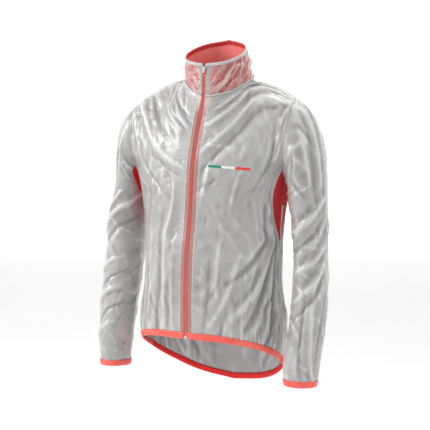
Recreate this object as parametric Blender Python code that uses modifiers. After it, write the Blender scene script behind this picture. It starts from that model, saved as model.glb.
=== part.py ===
"""Cycling windbreaker in thin film, in its worn shape with no wearer inside.

Metres, +Z up. The front faces -Y and the wearer's left is +X. The origin is the point
between the shoulders, at the height of the neck's side, from which the jacket hangs.

Every cloth piece is an open surface, worked out from the tables below, with a Solidify
wall that goes inwards. Neighbouring pieces share the points of their seam, and each
piece then draws its own edge back by half the seam gap.
"""

import math
from collections import namedtuple

import bmesh
import bpy
import numpy as np

# ---------------------------------------------------------------- driving dimensions

NAME = "windbreaker"
FILM_WALL = 0.0012           # wall of the film pieces
TRIM_WALL = 0.0010           # wall of bindings, lining and tapes
SEAM_GAP = 0.0003            # between the edges of two pieces that are sewn together
RIDGE_GAP = 0.0012           # the same where the walls lean towards each other inside
LAY_GAP = 0.0004             # between a piece and another that lies on it
BAND_GAP = 0.0008            # between the film and a binding folded round its edge

RING_POWER = 2.20            # 2 is an ellipse; more is squarer
GUSSET_LEVEL = -0.213        # height where the gusset meets the front and back armhole
GUSSET_TIP = -0.395          # height of the gusset's lower tip
ZIP_EDGE = 0.0040            # half the gap between the two fronts, where the coil shows
HEM_BAND = 0.014             # height of the hem binding
CUFF_BAND = 0.013
COLLAR_EDGE = 0.006          # height of the binding on the collar's top edge
PIPING_RADIUS = 0.0013
PIPING_GAP = 0.0010          # between the piping and the seam it lies in

SIDE_SEAM = math.radians(90)
CENTRE_BACK = math.radians(180)

Ring = namedtuple("Ring", "z half_width front back")
TORSO = (
    Ring(-0.790, 0.176, 0.146, 0.116),
    Ring(-0.680, 0.179, 0.146, 0.116),
    Ring(-0.602, 0.186, 0.146, 0.112),
    Ring(-0.523, 0.178, 0.146, 0.102),
    Ring(-0.466, 0.173, 0.144, 0.098),
    Ring(-0.410, 0.175, 0.139, 0.100),
    Ring(-0.336, 0.180, 0.125, 0.107),
    Ring(-0.262, 0.187, 0.117, 0.117),
    Ring(-0.196, 0.200, 0.108, 0.125),
    Ring(-0.122, 0.200, 0.083, 0.128),
    Ring(-0.046, 0.200, 0.054, 0.124),
    Ring(0.020, 0.200, 0.040, 0.112),
)

Hem = namedtuple("Hem", "angle z")
HEM_LINE = (
    Hem(0, -0.614),
    Hem(30, -0.618),
    Hem(60, -0.640),
    Hem(90, -0.678),
    Hem(120, -0.718),
    Hem(150, -0.758),
    Hem(180, -0.772),
)

Leaf = namedtuple("Leaf", "up front_angle back_angle")
GUSSET = (
    Leaf(0.00, 89.6, 90.4),
    Leaf(0.25, 76.0, 99.0),
    Leaf(0.50, 69.0, 105.0),
    Leaf(0.75, 68.0, 108.0),
    Leaf(1.00, 71.0, 110.0),
)

Neck = namedtuple("Neck", "angle z_left z_right")
NECK_SEAM = (
    Neck(0, -0.046, -0.046),
    Neck(20, -0.044, -0.036),
    Neck(45, -0.035, -0.016),
    Neck(65, -0.022, -0.005),
    Neck(90, -0.008, 0.002),
    Neck(130, 0.010, 0.013),
    Neck(180, 0.017, 0.017),
)
SHOULDER_BOW = 0.009         # how far the shoulder seam rises above a straight line
NECK_CENTRE_Y = 0.030
NECK_HALF_WIDTH = 0.084
NECK_HALF_DEPTH = 0.084

ArmPoint = namedtuple("ArmPoint", "turn x y z")      # turn: 0 top, 90 front, 180 under
ARMHOLE = (
    ArmPoint(0, 0.208, 0.014, -0.050),
    ArmPoint(45, 0.213, -0.034, -0.083),
    ArmPoint(90, 0.208, -0.056, -0.150),
    ArmPoint(135, 0.197, -0.036, -0.216),
    ArmPoint(180, 0.190, 0.010, -0.245),
    ArmPoint(225, 0.194, 0.056, -0.216),
    ArmPoint(270, 0.202, 0.078, -0.150),
    ArmPoint(315, 0.210, 0.058, -0.083),
    ArmPoint(360, 0.208, 0.014, -0.050),
)

ArmRing = namedtuple("ArmRing", "z x y half_side half_fore")
SLEEVE_LEFT = (
    ArmRing(-0.285, 0.2450, 0.008, 0.0450, 0.0620),
    ArmRing(-0.340, 0.2510, 0.004, 0.0420, 0.0585),
    ArmRing(-0.416, 0.2560, -0.002, 0.0395, 0.0550),
    ArmRing(-0.480, 0.2610, -0.012, 0.0410, 0.0540),
    ArmRing(-0.545, 0.2640, -0.028, 0.0410, 0.0520),
    ArmRing(-0.610, 0.2620, -0.045, 0.0420, 0.0490),
    ArmRing(-0.665, 0.2580, -0.060, 0.0430, 0.0450),
    ArmRing(-0.712, 0.2590, -0.069, 0.0375, 0.0385),
)
SLEEVE_RIGHT = (
    ArmRing(-0.285, 0.2380, 0.008, 0.0440, 0.0620),
    ArmRing(-0.340, 0.2470, 0.004, 0.0450, 0.0610),
    ArmRing(-0.416, 0.2515, -0.004, 0.0465, 0.0605),
    ArmRing(-0.480, 0.2530, -0.015, 0.0460, 0.0590),
    ArmRing(-0.545, 0.2550, -0.028, 0.0450, 0.0560),
    ArmRing(-0.610, 0.2560, -0.042, 0.0430, 0.0520),
    ArmRing(-0.665, 0.2530, -0.056, 0.0410, 0.0465),
    ArmRing(-0.720, 0.2480, -0.065, 0.0375, 0.0385),
)

Collar = namedtuple("Collar", "up half_width half_depth centre_y lean")
COLLAR = (
    Collar(0.00, 0.0840, 0.0840, 0.0300, 0.0000),
    Collar(0.35, 0.0815, 0.0815, 0.0290, -0.0025),
    Collar(0.70, 0.0780, 0.0780, 0.0270, -0.0055),
    Collar(1.00, 0.0745, 0.0755, 0.0255, -0.0080),
)
Rim = namedtuple("Rim", "angle z_left z_right")
COLLAR_TOP = (
    Rim(0, 0.029, 0.029),
    Rim(45, 0.036, 0.042),
    Rim(90, 0.058, 0.066),
    Rim(135, 0.084, 0.088),
    Rim(180, 0.098, 0.098),
)

# Direction in which a front's columns arrive at its top edge. The back's are the same
# with y turned round.
Arrive = namedtuple("Arrive", "across x y z")
TOP_DIRECTIONS = (
    Arrive(0.00, 0.00, 0.45, 0.89),
    Arrive(0.25, -0.35, 0.62, 0.70),
    Arrive(0.50, -0.30, 0.85, 0.42),
    Arrive(0.75, 0.00, 1.00, 0.04),
    Arrive(1.00, 0.00, 1.00, 0.00),
)

# Direction in which the sleeve leaves the armhole, from its top to its underside.
LEAVE_TOP = (0.90, 0.0, -0.43)
LEAVE_UNDER = (0.62, 0.0, -0.78)
LEAVE_FORE = 0.25            # how far its front and back edges also leave sideways
ARMHOLE_CENTRE_Z = -0.150
ARMHOLE_HALF_UP = 0.098      # half the armhole's height and depth, seen from the side
ARMHOLE_HALF_FORE = 0.067
GUSSET_BULGE = 0.006         # how far the mesh stands out between its two edges
TOP_ARRIVAL = 0.95           # how strongly a panel's columns keep their direction on top

# Counts of rows and columns
FRONT_COLUMNS = 18
BACK_COLUMNS = 12            # from the centre back to one side
FRONT_NECK_COLUMNS = 8       # columns that end on the neck seam, the rest on the shoulder
BACK_NECK_COLUMNS = 5
ROWS_BELOW_TIP = 10
ROWS_BESIDE_GUSSET = 6
ROWS_ABOVE = 9
ROW_CROWDING = 1.35          # above the armhole's foot, rows crowd towards the top
GUSSET_COLUMNS = 6
CAP_ROWS = 7
ARM_ROWS = 13
COLLAR_ROWS = 3


# ---------------------------------------------------------------- curves and surfaces

def column(table, name):
    return np.array([getattr(row, name) for row in table], float)


def through(stations, values, at):
    """Smooth curve through a table's rows, as a cubic with central slopes."""
    values = np.asarray(values, float)
    at = np.clip(at, stations[0], stations[-1])
    slopes = np.gradient(values, stations, axis=0)
    k = int(np.clip(np.searchsorted(stations, at) - 1, 0, len(stations) - 2))
    span = stations[k + 1] - stations[k]
    t = (at - stations[k]) / span
    return hermite(values[k], values[k + 1], slopes[k] * span, slopes[k + 1] * span, t)


def hermite(start, end, leave, arrive, t):
    """Cubic from start to end that leaves and arrives along the two given vectors."""
    a = 2 * t**3 - 3 * t**2 + 1
    b = t**3 - 2 * t**2 + t
    c = -2 * t**3 + 3 * t**2
    d = t**3 - t**2
    return a * start + b * leave + c * end + d * arrive


def look_up(table, key, name, at):
    return float(through(column(table, key), column(table, name), at))


def unit(vector):
    vector = np.asarray(vector, float)
    return vector / np.linalg.norm(vector)


def mirrored(points, side):
    """The points as they are for side 1, and mirrored in the middle plane for -1."""
    return np.asarray(points, float) * np.array([side, 1.0, 1.0])


def ring_point(angle, z):
    """Point of the torso at one height; angle 0 is the centre front."""
    radius = (abs(math.sin(angle))**RING_POWER + abs(math.cos(angle))**RING_POWER)
    radius **= -1.0 / RING_POWER
    depth_name = "front" if angle <= SIDE_SEAM else "back"
    depth = look_up(TORSO, "z", depth_name, z)
    width = look_up(TORSO, "z", "half_width", z)
    return np.array([width * math.sin(angle) * radius, -depth * math.cos(angle) * radius, z])


def hem_height(angle):
    return look_up(HEM_LINE, "angle", "z", math.degrees(angle))


def lower_point(angle, rise):
    """Point of the torso below the armholes; rise is 0 at the hem and 1 at the top."""
    low = hem_height(angle)
    return ring_point(angle, low + (GUSSET_LEVEL - low) * rise)


def rise_of_tip():
    low = hem_height(SIDE_SEAM)
    return (GUSSET_TIP - low) / (GUSSET_LEVEL - low)


def armhole_point(turn):
    names = ("x", "y", "z")
    values = np.stack([column(ARMHOLE, name) for name in names], axis=1)
    return through(column(ARMHOLE, "turn"), values, turn % 360)


def turn_at_gusset(is_front):
    """Where the armhole passes the gusset's level, found by halving."""
    low, high = (90.0, 180.0) if is_front else (270.0, 180.0)
    for _ in range(40):
        middle = (low + high) / 2
        if armhole_point(middle)[2] > GUSSET_LEVEL:
            low = middle
        else:
            high = middle
    return (low + high) / 2


def neck_point(angle, side):
    name = "z_left" if side > 0 else "z_right"
    z = look_up(NECK_SEAM, "angle", name, math.degrees(angle))
    x = NECK_HALF_WIDTH * math.sin(angle)
    return np.array([x, NECK_CENTRE_Y - NECK_HALF_DEPTH * math.cos(angle), z])


def row_rises():
    """Rises of the rows from the hem to the gusset's level; the tip is on a row."""
    tip = rise_of_tip()
    below = np.linspace(0, tip, ROWS_BELOW_TIP + 1)
    beside = np.linspace(tip, 1, ROWS_BESIDE_GUSSET + 1)
    return np.concatenate([below, beside[1:]])


def gusset_angle(rise, is_front):
    """Angle of the panel's outer edge at one rise."""
    tip = rise_of_tip()
    up = max(0.0, (rise - tip) / (1 - tip))
    if up == 0.0:
        return SIDE_SEAM
    name = "front_angle" if is_front else "back_angle"
    return math.radians(look_up(GUSSET, "up", name, up))


def seam_shift(rise, is_front):
    """Moves the gusset's edge so that it ends on the armhole exactly."""
    tip = rise_of_tip()
    up = max(0.0, (rise - tip) / (1 - tip))
    meeting = armhole_point(turn_at_gusset(is_front))
    ring = ring_point(gusset_angle(1.0, is_front), GUSSET_LEVEL)
    return (meeting - ring) * up**2


def across_shares(count):
    """Columns closer together towards the side, where the hem is gathered."""
    even = np.linspace(0, 1, count + 1)
    return 1 - (1 - even)**1.25


def neck_share(is_front):
    """Share across at which the neck seam ends and the shoulder seam starts."""
    if is_front:
        return across_shares(FRONT_COLUMNS)[FRONT_NECK_COLUMNS]
    return across_shares(BACK_COLUMNS)[BACK_NECK_COLUMNS]


def panel_top(share, is_front, side):
    """Point and direction at the top edge: the neck seam, then the shoulder seam."""
    inner = math.asin(ZIP_EDGE / NECK_HALF_WIDTH) if is_front else CENTRE_BACK
    corner = neck_share(is_front)
    if share <= corner:
        angle = inner + (SIDE_SEAM - inner) * share / corner
        point = neck_point(angle, side)
    else:
        along = (share - corner) / (1 - corner)
        start = neck_point(SIDE_SEAM, side)
        point = start + (armhole_point(0) - start) * along
        point[2] += SHOULDER_BOW * math.sin(math.pi * along)
    names = ("x", "y", "z")
    values = np.stack([column(TOP_DIRECTIONS, name) for name in names], axis=1)
    direction = through(column(TOP_DIRECTIONS, "across"), values, share)
    if not is_front:
        direction[1] *= -1
    return point, unit(direction)


def half_panel(is_front, side):
    """Rows of points of one front, or of one half of the back, on the +X side."""
    count = FRONT_COLUMNS if is_front else BACK_COLUMNS
    shares = across_shares(count)
    zip_angle = ZIP_EDGE / look_up(TORSO, "z", "half_width", GUSSET_LEVEL)
    rows = []
    for rise in row_rises():
        outer = gusset_angle(rise, is_front)
        row = []
        for share in shares:
            inner = zip_angle if is_front else CENTRE_BACK
            point = lower_point(inner + (outer - inner) * share, rise)
            point = point + seam_shift(rise, is_front) * share**3
            if share == 0:
                point[0] = ZIP_EDGE if is_front else 0.0
            row.append(point)
        rows.append(row)
    return rows + upper_rows(np.array(rows[-1]), np.array(rows[-2]), shares, is_front, side)


def upper_rows(base, below, shares, is_front, side):
    """Rows from the gusset's level to the neck and shoulder seams."""
    start_turn = turn_at_gusset(is_front)
    end_turn = 0.0 if is_front else 360.0
    rows = []
    for step in range(1, ROWS_ABOVE + 1):
        t = 1 - (1 - step / ROWS_ABOVE)**ROW_CROWDING
        row = []
        for share, low, lower in zip(shares, base, below):
            row.append(upper_point(share, low, lower, t, is_front, side))
        rise = armhole_point(start_turn + (end_turn - start_turn) * t)
        outer_shift = rise - row[-1]
        top = panel_top(0.0, is_front, side)[0]
        z = base[0][2] + (top[2] - base[0][2]) * t
        middle = np.array([base[0][0], 0.0, z])
        name = "front" if is_front else "back"
        middle[1] = look_up(TORSO, "z", name, z) * (-1 if is_front else 1)
        inner_shift = (middle - row[0]) * (1 if t < 1 else 0)
        for k, share in enumerate(shares):
            row[k] = row[k] + outer_shift * share**4 + inner_shift * (1 - share)**3
        rows.append(row)
    return rows


def upper_point(share, low, lower, t, is_front, side):
    top, arrive = panel_top(share, is_front, side)
    reach = np.linalg.norm(top - low)
    leave = unit(low - lower) * reach
    return hermite(low, top, leave, arrive * reach * TOP_ARRIVAL, t)


# ---------------------------------------------------------------- folds

# Folds lie on a panel between two places, each given as the share across (0 at the zip
# or centre back, 1 at the side) and the share up (0 at the hem, 1 at the top). A
# positive height is a ridge. On a sleeve, across is the share round it from the
# shoulder by way of the front, and up is 0 at the cuff.
Fold = namedtuple("Fold", "across0 up0 across1 up1 width height")
FOLDS_FRONT_LEFT = (
    Fold(0.98, 0.50, 0.45, 0.12, 0.016, 0.0060),
    Fold(0.95, 0.44, 0.68, 0.06, 0.013, -0.0050),
    Fold(0.90, 0.52, 0.30, 0.22, 0.014, -0.0040),
    Fold(0.60, 0.95, 0.05, 0.70, 0.016, 0.0045),
    Fold(0.80, 0.88, 0.15, 0.62, 0.014, -0.0035),
    Fold(0.25, 0.45, 0.18, 0.05, 0.014, 0.0035),
)
FOLDS_FRONT_RIGHT = (
    Fold(0.22, 0.60, 0.20, 0.08, 0.014, 0.0055),
    Fold(0.42, 0.50, 0.36, 0.06, 0.014, -0.0045),
    Fold(0.75, 0.92, 0.15, 0.66, 0.015, 0.0050),
    Fold(0.88, 0.84, 0.30, 0.62, 0.013, -0.0040),
    Fold(0.95, 0.45, 0.62, 0.10, 0.015, 0.0045),
)
FOLDS_BACK_LEFT = (
    Fold(0.95, 0.48, 0.45, 0.14, 0.016, 0.0055),
    Fold(0.90, 0.90, 0.10, 0.80, 0.015, 0.0045),
    Fold(0.30, 0.50, 0.22, 0.08, 0.016, -0.0045),
)
FOLDS_BACK_RIGHT = (
    Fold(0.95, 0.44, 0.55, 0.10, 0.016, 0.0050),
    Fold(0.85, 0.94, 0.12, 0.86, 0.014, -0.0040),
    Fold(0.45, 0.52, 0.38, 0.12, 0.015, 0.0045),
)
FOLDS_SLEEVE_LEFT = (
    Fold(0.10, 0.62, 0.42, 0.52, 0.012, 0.0050),
    Fold(0.12, 0.54, 0.45, 0.45, 0.011, -0.0045),
    Fold(0.05, 0.42, 0.36, 0.30, 0.012, 0.0050),
    Fold(0.22, 0.32, 0.16, 0.06, 0.012, 0.0050),
    Fold(0.08, 0.96, 0.12, 0.70, 0.012, 0.0045),
    Fold(0.60, 0.58, 0.90, 0.50, 0.012, 0.0045),
    Fold(0.62, 0.38, 0.88, 0.28, 0.012, -0.0040),
)
FOLDS_SLEEVE_RIGHT = (
    Fold(0.06, 0.48, 0.42, 0.62, 0.013, 0.0055),
    Fold(0.08, 0.38, 0.44, 0.52, 0.012, -0.0045),
    Fold(0.10, 0.24, 0.40, 0.36, 0.012, 0.0050),
    Fold(0.12, 0.12, 0.38, 0.20, 0.012, 0.0045),
    Fold(0.90, 0.94, 0.82, 0.72, 0.012, 0.0045),
    Fold(0.60, 0.60, 0.92, 0.50, 0.012, 0.0045),
    Fold(0.62, 0.34, 0.90, 0.26, 0.012, -0.0040),
)
PANEL_SPAN = (0.27, 0.62)    # size of a half panel laid flat, across and up
SLEEVE_SPAN = (0.32, 0.62)
GATHER_DEPTH = 0.0016        # half the height of a gather where it meets the hem
GATHER_REACH = 0.30          # share of the panel's height that the gathers reach
GATHER_START = 0.45          # share across, from which the hem is gathered
GATHER_BLEND = 0.20          # share across, over which the gathers reach their full depth
FOLD_FADE = 0.12             # how far a fold runs on past its ends, as a share of it
EDGE_STEPS = 2.0             # rows or columns from a sewn edge to a fold's full height
CAP_STEPS = 3.0             # the same at the sleeve's top


def fold_height(folds, across, up, span):
    """Height of all the folds at one place of a panel."""
    place = np.array([across * span[0], up * span[1]])
    total = 0.0
    for fold in folds:
        start = np.array([fold.across0 * span[0], fold.up0 * span[1]])
        line = np.array([fold.across1 * span[0], fold.up1 * span[1]]) - start
        share = float(np.dot(place - start, line) / np.dot(line, line))
        beyond = max(0.0, share - 1.0, -share)
        off = abs(line[0] * (place - start)[1] - line[1] * (place - start)[0])
        off /= np.linalg.norm(line)
        fade = math.exp(-(beyond / FOLD_FADE)**2)
        total += fold.height * fade * math.exp(-(off / fold.width)**2)
    return total


def gather_height(index, across, up):
    """Alternate columns rise and sink above the hem; none on the flat middle."""
    if across < GATHER_START or up > GATHER_REACH:
        return 0.0
    strength = min(1.0, (across - GATHER_START) / GATHER_BLEND) * (1 - up / GATHER_REACH)
    return GATHER_DEPTH * strength * (1 if index % 2 else -1)


def grid_normals(grid, closed=False):
    """Outward directions of a grid of points, rows going up, columns going round."""
    if closed:
        across = np.roll(grid, -1, axis=1) - np.roll(grid, 1, axis=1)
    else:
        across = np.gradient(grid, axis=1)
    up = np.gradient(grid, axis=0)
    normals = np.cross(across, up)
    return normals / np.linalg.norm(normals, axis=2, keepdims=True)


def edge_fade(position, count):
    """0 on an edge that is sewn to another piece, 1 from the third column or row in."""
    inside = min(position, count - 1 - position)
    return min(1.0, inside / EDGE_STEPS)


def fold_panel(grid, folds, shares):
    """Raise a half panel's folds; shares are its columns' shares across."""
    grid = np.array(grid)
    normals = grid_normals(grid)
    row_count, column_count = grid.shape[:2]
    for j in range(row_count):
        up = j / (row_count - 1)
        top_fade = min(1.0, (row_count - 1 - j) / EDGE_STEPS)
        for i in range(column_count):
            height = fold_height(folds, shares[i], up, PANEL_SPAN)
            height += gather_height(i, shares[i], up)
            fade = top_fade * edge_fade(i, column_count)
            grid[j, i] += normals[j, i] * height * fade
    return grid


# ---------------------------------------------------------------- pieces as grids

def front_grid(side):
    """A front as seen from outside: columns run so that its normals point outwards."""
    rows = np.array(half_panel(True, side))
    folds = FOLDS_FRONT_LEFT if side > 0 else FOLDS_FRONT_RIGHT
    rows = fold_panel(rows, folds, across_shares(FRONT_COLUMNS))
    rows = mirrored(rows, side)
    return rows if side > 0 else rows[:, ::-1]


def back_grid():
    """The whole back, from the wearer's left side seam to the right one."""
    halves = []
    for side, folds in ((1, FOLDS_BACK_LEFT), (-1, FOLDS_BACK_RIGHT)):
        rows = np.array(half_panel(False, side))
        rows = rows[:, ::-1]
        shares = across_shares(BACK_COLUMNS)[::-1]
        folded = fold_panel(rows, folds, shares)
        folded[:, -1] = rows[:, -1]
        halves.append(mirrored(folded, side))
    return np.concatenate([halves[0], halves[1][:, -2::-1]], axis=1)


def gusset_grid(side, front, back):
    """Leaf between a front's edge and the back's edge, ending on the armhole."""
    edges = []
    for rows, is_front in ((front, True), (back, False)):
        use_last = is_front == (side > 0)
        edges.append(rows[:, -1] if use_last else rows[:, 0])
    low = ROWS_BELOW_TIP
    high = ROWS_BELOW_TIP + ROWS_BESIDE_GUSSET
    start = turn_at_gusset(True)
    end = turn_at_gusset(False)
    grid = []
    for j in range(low, high + 1):
        up = (j - low) / (high - low)
        row = []
        for k in range(GUSSET_COLUMNS + 1):
            share = k / GUSSET_COLUMNS
            point = edges[0][j] * (1 - share) + edges[1][j] * share
            bulge = mirrored((GUSSET_BULGE * math.sin(math.pi * share) * up, 0, 0), side)
            arc = mirrored(armhole_point(start + (end - start) * share), side)
            straight = edges[0][high] * (1 - share) + edges[1][high] * share
            row.append(point + bulge * (1 - up) + (arc - straight) * up**3)
        grid.append(row)
    grid = np.array(grid)
    return grid if side > 0 else grid[:, ::-1]


def armhole_loop(side, front, back, gusset):
    """The armhole's points, from the shoulder down the front, under, and up the back."""
    high = ROWS_BELOW_TIP + ROWS_BESIDE_GUSSET
    front_edge = front[high:, -1] if side > 0 else front[high:, 0]
    back_edge = back[high:, 0] if side > 0 else back[high:, -1]
    under = gusset[-1] if side > 0 else gusset[-1][::-1]
    return np.concatenate([front_edge[::-1], under[1:-1], back_edge[:-1]])


def arm_frame(table, z):
    """Centre, downward direction and half sizes of the sleeve at one height."""
    centre = np.array([look_up(table, "z", "x", z), look_up(table, "z", "y", z), z])
    step = 0.01
    lower = np.array([look_up(table, "z", "x", z - step), look_up(table, "z", "y", z - step), 0])
    upper = np.array([look_up(table, "z", "x", z + step), look_up(table, "z", "y", z + step), 0])
    along = lower - upper
    along[2] = -2 * step
    return centre, unit(along)


def arm_point(table, z, turn):
    """Point of the sleeve; turn is 0 outside, 90 front, 180 inside, in radians."""
    centre, along = arm_frame(table, z)
    outward = unit(np.array([1.0, 0, 0]) - along * along[0])
    forward = np.cross(outward, along)
    if forward[1] > 0:
        forward = -forward
    half_side = look_up(table, "z", "half_side", z)
    half_fore = look_up(table, "z", "half_fore", z)
    return centre + outward * half_side * math.cos(turn) + forward * half_fore * math.sin(turn)


def sleeve_grid(side, loop):
    """Rows from the cuff up to the armhole; columns go round from the shoulder."""
    table = SLEEVE_LEFT if side > 0 else SLEEVE_RIGHT
    table = tuple(sorted(table))
    loop = mirrored(loop, side)
    centre = np.array([0.0, look_up(ARMHOLE, "turn", "y", 0), ARMHOLE_CENTRE_Z])
    turns = []
    for point in loop:
        off = point - centre
        turns.append(math.atan2(-off[1] / ARMHOLE_HALF_FORE, off[2] / ARMHOLE_HALF_UP))
    turns = np.unwrap(turns)
    top_z = table[-1].z
    low_z = table[0].z
    rows = []
    for z in np.linspace(low_z, top_z, ARM_ROWS + 1):
        rows.append([arm_point(table, z, turn) for turn in turns])
    base = np.array(rows[-1])
    below = np.array(rows[-2])
    for step in range(1, CAP_ROWS + 1):
        t = step / CAP_ROWS
        row = []
        for k, turn in enumerate(turns):
            under = (1 - math.cos(turn)) / 2
            leave = np.array(LEAVE_TOP) * (1 - under) + np.array(LEAVE_UNDER) * under
            leave[1] = -LEAVE_FORE * math.sin(turn)
            reach = np.linalg.norm(loop[k] - base[k])
            start = unit(base[k] - below[k]) * reach
            row.append(hermite(base[k], loop[k], start, -unit(leave) * reach, t))
        rows.append(row)
    grid = np.array(rows)
    folds = FOLDS_SLEEVE_LEFT if side > 0 else FOLDS_SLEEVE_RIGHT
    normals = grid_normals(grid[:, ::-1], closed=True)[:, ::-1]
    row_count, column_count = grid.shape[:2]
    folded = grid.copy()
    for j in range(row_count):
        fade = min(1.0, (row_count - 1 - j) / CAP_STEPS)
        for i in range(column_count):
            share = i / column_count
            height = fold_height(folds, share, j / (row_count - 1), SLEEVE_SPAN)
            folded[j, i] += normals[j, i] * height * fade
    folded = mirrored(folded, side)
    return folded[:, ::-1] if side > 0 else folded


# ---------------------------------------------------------------- making objects

def make_material(name, colour, roughness, metallic=0.0):
    material = bpy.data.materials.new(name)
    material.use_nodes = True
    shader = material.node_tree.nodes["Principled BSDF"]
    shader.inputs["Base Color"].default_value = (*colour, 1.0)
    shader.inputs["Roughness"].default_value = roughness
    shader.inputs["Metallic"].default_value = metallic
    return material


def draw_back(grid, closed=False, rows=(True, True), gap=SEAM_GAP, top_gap=SEAM_GAP):
    """Draw a grid's edges back by half the seam gap."""
    grid = np.array(grid)
    half = gap / 2
    if rows[0]:
        grid[0] += half * unit_rows(grid[1] - grid[0])
    if rows[1]:
        grid[-1] += top_gap / 2 * unit_rows(grid[-2] - grid[-1])
    if not closed:
        grid[:, 0] += half * unit_rows(grid[:, 1] - grid[:, 0])
        grid[:, -1] += half * unit_rows(grid[:, -2] - grid[:, -1])
    return grid


def unit_rows(vectors):
    return vectors / np.linalg.norm(vectors, axis=-1, keepdims=True)


def sheet_object(name, grid, wall, material, closed=False, offset=-1.0):
    """A grid of points as an open surface with a Solidify wall."""
    grid = np.asarray(grid)
    row_count, column_count = grid.shape[:2]
    mesh_points = bmesh.new()
    corners = [[mesh_points.verts.new(point) for point in row] for row in grid]
    last = column_count if closed else column_count - 1
    for j in range(row_count - 1):
        for i in range(last):
            k = (i + 1) % column_count
            mesh_points.faces.new(
                (corners[j][i], corners[j][k], corners[j + 1][k], corners[j + 1][i])
            )
    mesh = bpy.data.meshes.new(name)
    mesh_points.to_mesh(mesh)
    mesh_points.free()
    mesh.materials.append(material)
    mesh.shade_smooth()
    piece = bpy.data.objects.new(name, mesh)
    solidify = piece.modifiers.new("wall", "SOLIDIFY")
    solidify.thickness = wall
    solidify.offset = offset
    collection().objects.link(piece)
    return piece


def collection():
    return bpy.data.collections[NAME]


# ---------------------------------------------------------------- collar

def neck_loop(front_left, front_right, back):
    """Points and panel normals round the neck seam, anticlockwise from above."""
    middle = BACK_COLUMNS
    first = middle - BACK_NECK_COLUMNS
    last = middle + BACK_NECK_COLUMNS
    parts = []
    for grid in (front_left, back, front_right):
        parts.append((grid[-1], grid_normals(grid)[-1]))
    count = FRONT_NECK_COLUMNS
    slices = (slice(0, count), slice(first, last + 1), slice(FRONT_COLUMNS - count + 1, None))
    points = np.concatenate([part[0][cut] for part, cut in zip(parts, slices)])
    normals = np.concatenate([part[1][cut] for part, cut in zip(parts, slices)])
    return points, normals


def collar_point(base, up):
    """Point of the collar above one point of the neck seam; up is 0 to 1."""
    side = 1 if base[0] > 0 else -1
    off_x = abs(base[0]) / NECK_HALF_WIDTH
    off_y = (NECK_CENTRE_Y - base[1]) / NECK_HALF_DEPTH
    angle = math.atan2(off_x, off_y)
    top = look_up(COLLAR_TOP, "angle", "z_left" if side > 0 else "z_right", math.degrees(angle))
    width = look_up(COLLAR, "up", "half_width", up)
    depth = look_up(COLLAR, "up", "half_depth", up)
    centre = look_up(COLLAR, "up", "centre_y", up)
    lean = look_up(COLLAR, "up", "lean", up)
    x = side * width * math.sin(angle) + lean * min(1.0, angle / math.radians(50))
    if off_y > 0 and abs(base[0]) < ZIP_EDGE * 1.5:
        x = side * ZIP_EDGE
    return np.array([x, centre - depth * math.cos(angle), base[2] + (top - base[2]) * up])


def collar_grid(loop, low, high):
    """Rows of the collar between two shares of its height."""
    ups = np.linspace(low, high, COLLAR_ROWS + 1)
    return np.array([[collar_point(base, up) for base in loop] for up in ups])


# ---------------------------------------------------------------- trims

def folded_binding(edge, inside, height, outer_gap, inner_gap):
    """Path of a tape folded over an edge: up the inside, round the edge, up the outside.

    edge and inside are two rows of points and normals, the edge itself and the next row.
    """
    edge_points, edge_normals = edge
    next_points, next_normals = inside
    run = next_points - edge_points
    length = np.linalg.norm(run, axis=1, keepdims=True)
    run = run / length
    upper = edge_points + run * height
    share = height / length
    normals = unit_rows(edge_normals * (1 - share) + next_normals * share)
    below = edge_points - run * LAY_GAP
    return np.array([
        upper - normals * inner_gap,
        below - edge_normals * inner_gap,
        below + edge_normals * outer_gap,
        upper + normals * outer_gap,
    ])


def binding_object(name, grid, height, material, closed=False):
    normals = grid_normals(grid, closed)
    edge = (grid[0], normals[0])
    inside = (grid[1], normals[1])
    path = folded_binding(edge, inside, height, BAND_GAP, FILM_WALL + BAND_GAP)
    path = draw_back(path, closed=closed, rows=(False, False), gap=RIDGE_GAP)
    return sheet_object(name, path, TRIM_WALL, material, closed=closed, offset=1.0)


def collar_edge_object(grid, material):
    """Tape over the collar's top edge, round the film and the lining."""
    flipped = grid[::-1]
    normals = grid_normals(grid)[::-1]
    thickness = FILM_WALL + LAY_GAP + TRIM_WALL
    edge = (flipped[0], normals[0])
    inside = (flipped[1], normals[1])
    path = folded_binding(edge, inside, COLLAR_EDGE, BAND_GAP, thickness + BAND_GAP)
    path = draw_back(path[::-1], rows=(False, False))
    return sheet_object("collar_binding", path, TRIM_WALL, material, offset=1.0)


def piping_object(points, panel_normals, collar_normals, material):
    """Cord of the neck seam, lying in the notch between the collar and the panels."""
    joint = unit_rows(panel_normals + collar_normals)
    lean = np.sum(joint * collar_normals, axis=1, keepdims=True)
    centres = points + joint * (PIPING_RADIUS + PIPING_GAP) / np.maximum(lean, 0.5)
    curve = bpy.data.curves.new("neck_piping", "CURVE")
    curve.dimensions = "3D"
    curve.bevel_depth = PIPING_RADIUS
    curve.bevel_resolution = 1
    curve.use_fill_caps = True
    spline = curve.splines.new("POLY")
    spline.points.add(len(centres) - 1)
    for point, centre in zip(spline.points, centres):
        point.co = (*centre, 1.0)
    curve.materials.append(material)
    piping = bpy.data.objects.new("neck_piping", curve)
    collection().objects.link(piping)
    return piping


# ---------------------------------------------------------------- zip

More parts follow.
